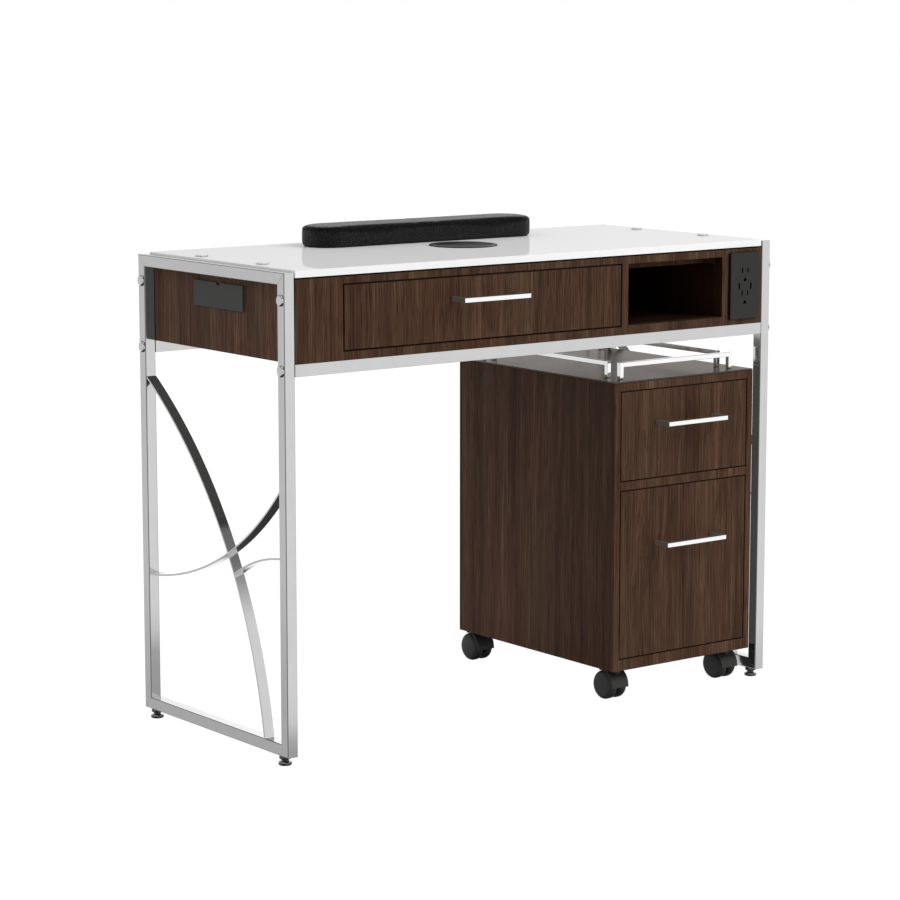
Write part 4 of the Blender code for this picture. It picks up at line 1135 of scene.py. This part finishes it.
def caster(name, x, y):
    """Two wheels under a hood: a guard over the treads, a web between them and the stem."""
    axle = (x, y + CASTER_TRAIL, WHEEL_RADIUS)
    fork = f"{name}_fork"
    half = wheel_profile()
    both = [(radius, -along) for radius, along in reversed(half)] + half
    piece(f"{name}_wheel_pair_turned", lathe(both, 72, "X"), WHEEL_PLASTIC,
          f"{name}_wheel_pair", at=axle, angle=32, replaces=f"{name}_wheels")
    inside, outside = 0.0254, 0.0276         # the guard's radii
    guard = arc_points((0, 0), outside, 74, 180, 26)
    guard += arc_points((0, 0), outside + 0.0004, 181, 185, 2)
    guard += arc_points((0, 0), inside, 185, 74, 26)
    piece(f"{name}_guard", extruded(guard, "X", -0.0180, 0.0180), HOOD_PLASTIC, fork, at=axle,
          bevel=0.0009, angle=40, replaces=f"{name}_hood")
    web = arc_points((0, 0), outside - 0.0004, 76, 184, 22)
    web += arc_points((0, 0), 0.0085, 232, 400, 12)
    piece(f"{name}_web", extruded(web, "X", -0.0030, 0.0030), HOOD_PLASTIC, fork, at=axle,
          bevel=0.0005, angle=40)
    # (radius, Z)
    stem = [
        (0, 0.0440), (0.0060, 0.0440), (0.0072, 0.0470), (0.0076, 0.0500), (0.0072, 0.0540),
        (0.0066, 0.0551), (0.0040, 0.0552), (0.0040, 0.0700), (0, 0.0700),
    ]
    piece(f"{name}_stem", lathe(stem, 40), DARK_PLASTIC, fork, at=(x, y, 0), angle=40)


for where, y in CASTER_ROWS:
    for side, x in CASTER_COLUMNS:
        caster(f"caster_{where}_{side}", x, y)

# ---- drawer runners ----------------------------------------------------------------------------
RUNNER_FRONT = DESK_Y - 0.186


def runner(name, x_case, x_drawer, back, z, height, case_body, drawer_body, case=None):
    """A side runner: a C channel on the case and a narrower one in it on the drawer.

    `case` is the Y range of the case's channel, where it differs from the runner's.
    """
    sign = 1 if x_drawer > x_case else -1
    depth, half, sheet, lip = 0.0082, height / 2, 0.0012, 0.0045
    channel = [
        (0, -half), (depth, -half), (depth, -half + lip), (depth - sheet, -half + lip),
        (depth - sheet, -half + sheet), (sheet, -half + sheet), (sheet, half - sheet),
        (depth - sheet, half - sheet), (depth - sheet, half - lip), (depth, half - lip),
        (depth, half), (0, half),
    ]
    outline = [(x_case + sign * u, z + v) for u, v in channel]
    bm = extruded(outline, "Y", *(case or (RUNNER_FRONT, back)))
    piece(f"{name}_case_channel", bm, ZINC, case_body, bevel=0.0003, segments=2)
    depth, half = 0.0052, half - 0.0052
    channel = [
        (0, -half), (depth, -half), (depth, -half + sheet), (sheet, -half + sheet),
        (sheet, half - sheet), (depth, half - sheet), (depth, half), (0, half),
    ]
    outline = [(x_drawer - sign * u, z + v) for u, v in channel]
    bm = extruded(outline, "Y", RUNNER_FRONT + 0.004, back - 0.010)
    piece(f"{name}_drawer_channel", bm, ZINC, drawer_body, bevel=0.0003, segments=2)


# Runners: (side, X on the case, X on the drawer).
CART_RUNNERS = (("left", 0.1711, 0.18535), ("right", 0.4549, 0.44065))
DESK_RUNNERS = (("left", -0.3898, -0.3778), ("right", 0.1653, 0.1533))

for level, z in (("upper", 0.4360), ("lower", 0.1900)):
    for side, x_case, x_drawer in CART_RUNNERS:
        runner(f"cart_{level}_{side}", x_case, x_drawer, DESK_Y + 0.170, z, 0.036,
               "cart", f"cart_{level}_drawer")
# The desk drawer's case channels reach from the face frame to the back panel.
for side, x_case, x_drawer in DESK_RUNNERS:
    runner(f"desk_{side}", x_case, x_drawer, DESK_Y + 0.145, 0.6640, 0.030,
           "desk", "desk_drawer", case=(DESK_Y - 0.1906, DESK_Y + 0.1906))

# ---- stage, light and camera -------------------------------------------------------------------
scene.view_settings.view_transform = "Standard"
scene.view_settings.look = "None"
scene.view_settings.exposure = 0.0
scene.view_settings.gamma = 1.0


def floor_mirrored(s):
    """How bright mirrors see the paper, a glow only mirrors see, with painted shadow near the table:
    bright in front, greyer near, behind and to the left.
    """
    x, y, _ = s.split(s.object_coords())
    # Painted shadow under the table, as mirrors see it.
    under = s.times(
        s.ease(s.size(x), between=(0.44, 0.50), to=(1.0, 0.0)),
        s.ease(y, between=(0.18, 0.26), to=(1.0, 0.0)),
    )
    # Distance from the table's footprint.
    dx = s.calc("MAXIMUM", s.minus(s.size(x), 0.50), 0.0)
    dy = s.calc("MAXIMUM", s.minus(s.size(y), 0.21), 0.0)
    away = s.calc("SQRT", s.plus(s.times(dx, dx), s.times(dy, dy)))
    behind = s.ease(away, between=(0.0, 1.3), to=(0.60, 0.76))
    ahead = s.ease(y, between=(-0.18, -0.62), to=(0.80, 1.0))
    # The border between the two runs askew, further back on the right.
    front = s.span(s.plus(y, s.times(x, -0.4)), between=(-0.10, -0.30))
    level = s.plus(s.times(behind, s.invert(front)), s.times(ahead, front))
    level = s.times(level, s.invert(s.times(under, s.invert(front), 0.15)))
    incoming = s.geometry("Incoming")
    toward_camera = s.dot(incoming, (0.785, 0.600, 0.15))
    # A painted brighter reflection beyond the back edge.
    beyond = s.times(
        s.ease(y, between=(0.24, 0.34), to=(0.0, 0.55)),
        s.span(x, between=(-0.46, -0.40)),
    )
    level = s.plus(level, beyond)
    # Painted dark reflection where mirrors look steeply down, and where they look towards the
    # camera.
    steep = s.ease(s.split(incoming)[2], between=(0.50, 0.64), to=(1.0, 0.100))
    level = s.times(level, steep)
    return s.times(level, s.ease(toward_camera, between=(0.925, 0.985), to=(1.0, 0.05)))


def floor():
    """White paper, almost evenly bright to the camera."""
    bm = bmesh.new()
    bmesh.ops.create_circle(bm, cap_ends=True, segments=64, radius=60.0)
    made = mesh_object("floor", bm)
    s = Shade("floor_paper")
    s.set(Base_Color=(0.90, 0.90, 0.90), Roughness=0.9, Specular_IOR_Level=0.0)
    mirrored = floor_mirrored(s)
    paths = s.add("ShaderNodeLightPath").outputs
    paper = s.bsdf.outputs[0]
    glow_share, glow_strength = 0.96, 1.045
    seen = s.choose(glow_share, paper, s.white("ShaderNodeEmission", glow_strength))
    shown = s.choose(paths["Is Camera Ray"], paper, seen)
    # Mirrors see the painted glow of floor_mirrored, not the lit paper.
    shown = s.choose(paths["Is Glossy Ray"], shown, s.white("ShaderNodeEmission", mirrored))
    s.feed(s.out.inputs[0], shown)
    made.data.materials.append(s.material)


def studio():
    """A white room. Mirrors see it as a bright band round the horizon, grey above and dark below,
    with bright patches overhead and high at the back right, and dark towards the camera."""
    world = bpy.data.worlds.new("studio")
    scene.world = world
    world.use_nodes = True
    s = Graph(world.node_tree)
    out = s.add("ShaderNodeOutputWorld")
    direction = s.add("ShaderNodeTexCoord").outputs["Generated"]
    z = s.split(direction)[2]
    band = s.times(
        s.ease(z, between=(0.40, 0.62), to=(1.0, 0.22)),
        s.ease(z, between=(-0.62, -0.36), to=(0.10, 1.0)),
    )
    overhead = s.ease(z, between=(0.80, 0.94), to=(0.0, 0.95))
    back_left = s.dot(direction, (-0.607, 0.794, 0.0))
    left = s.ease(back_left, between=(-0.2, 0.9), to=(1.0, 0.74))
    toward_camera = s.dot(direction, (-0.785, -0.600, -0.15))
    dark = s.ease(toward_camera, between=(0.925, 0.985), to=(1.0, 0.04))
    back_right = s.dot(direction, (0.525, 0.688, 0.50))
    wall = s.ease(back_right, between=(0.935, 0.985), to=(0.0, 0.80))
    level = s.plus(s.times(band, left, dark), s.plus(overhead, wall))
    paths = s.add("ShaderNodeLightPath").outputs
    glossy = s.white("ShaderNodeBackground", level)
    diffuse = s.white("ShaderNodeBackground", 0.62)
    seen = s.white("ShaderNodeBackground", 1.0)
    unseen = s.choose(paths["Is Glossy Ray"], diffuse, glossy)
    s.feed(out.inputs[0], s.choose(paths["Is Camera Ray"], unseen, seen))


def aim(made, direction):
    made.rotation_mode = "QUATERNION"
    made.rotation_quaternion = direction.to_track_quat("-Z", "Y")


def softbox(name, at, target, power, size=2.4):
    """A square area light that neither mirrors nor the camera see."""
    light = bpy.data.lights.new(name, "AREA")
    light.shape = "RECTANGLE"
    light.size = light.size_y = size
    light.energy = power
    made = linked(name, light)
    made.location = at
    aim(made, Vector(target) - Vector(at))
    made.visible_glossy = False
    made.visible_camera = False


def camera():
    data = bpy.data.cameras.new("camera")
    made = linked("camera", data)
    data.sensor_width = 36.0
    data.lens = 114.25
    data.clip_start, data.clip_end = 0.1, 200.0
    made.location = (-2.8879, -3.7330, 1.1579)
    # Azimuth from +Y, negative to the right, and pitch below the horizon.
    azimuth, pitch = math.radians(-37.398), math.radians(8.855)
    aim(made, Vector((
        -math.sin(azimuth) * math.cos(pitch),
        math.cos(azimuth) * math.cos(pitch),
        -math.sin(pitch),
    )))
    scene.camera = made


floor()
studio()
softbox("key", at=(1.9, -3.0, 3.2), target=(0.05, 0.0, 0.45), power=75)
softbox("fill", at=(-3.0, -1.6, 2.2), target=(0.0, 0.0, 0.5), power=16)
camera()
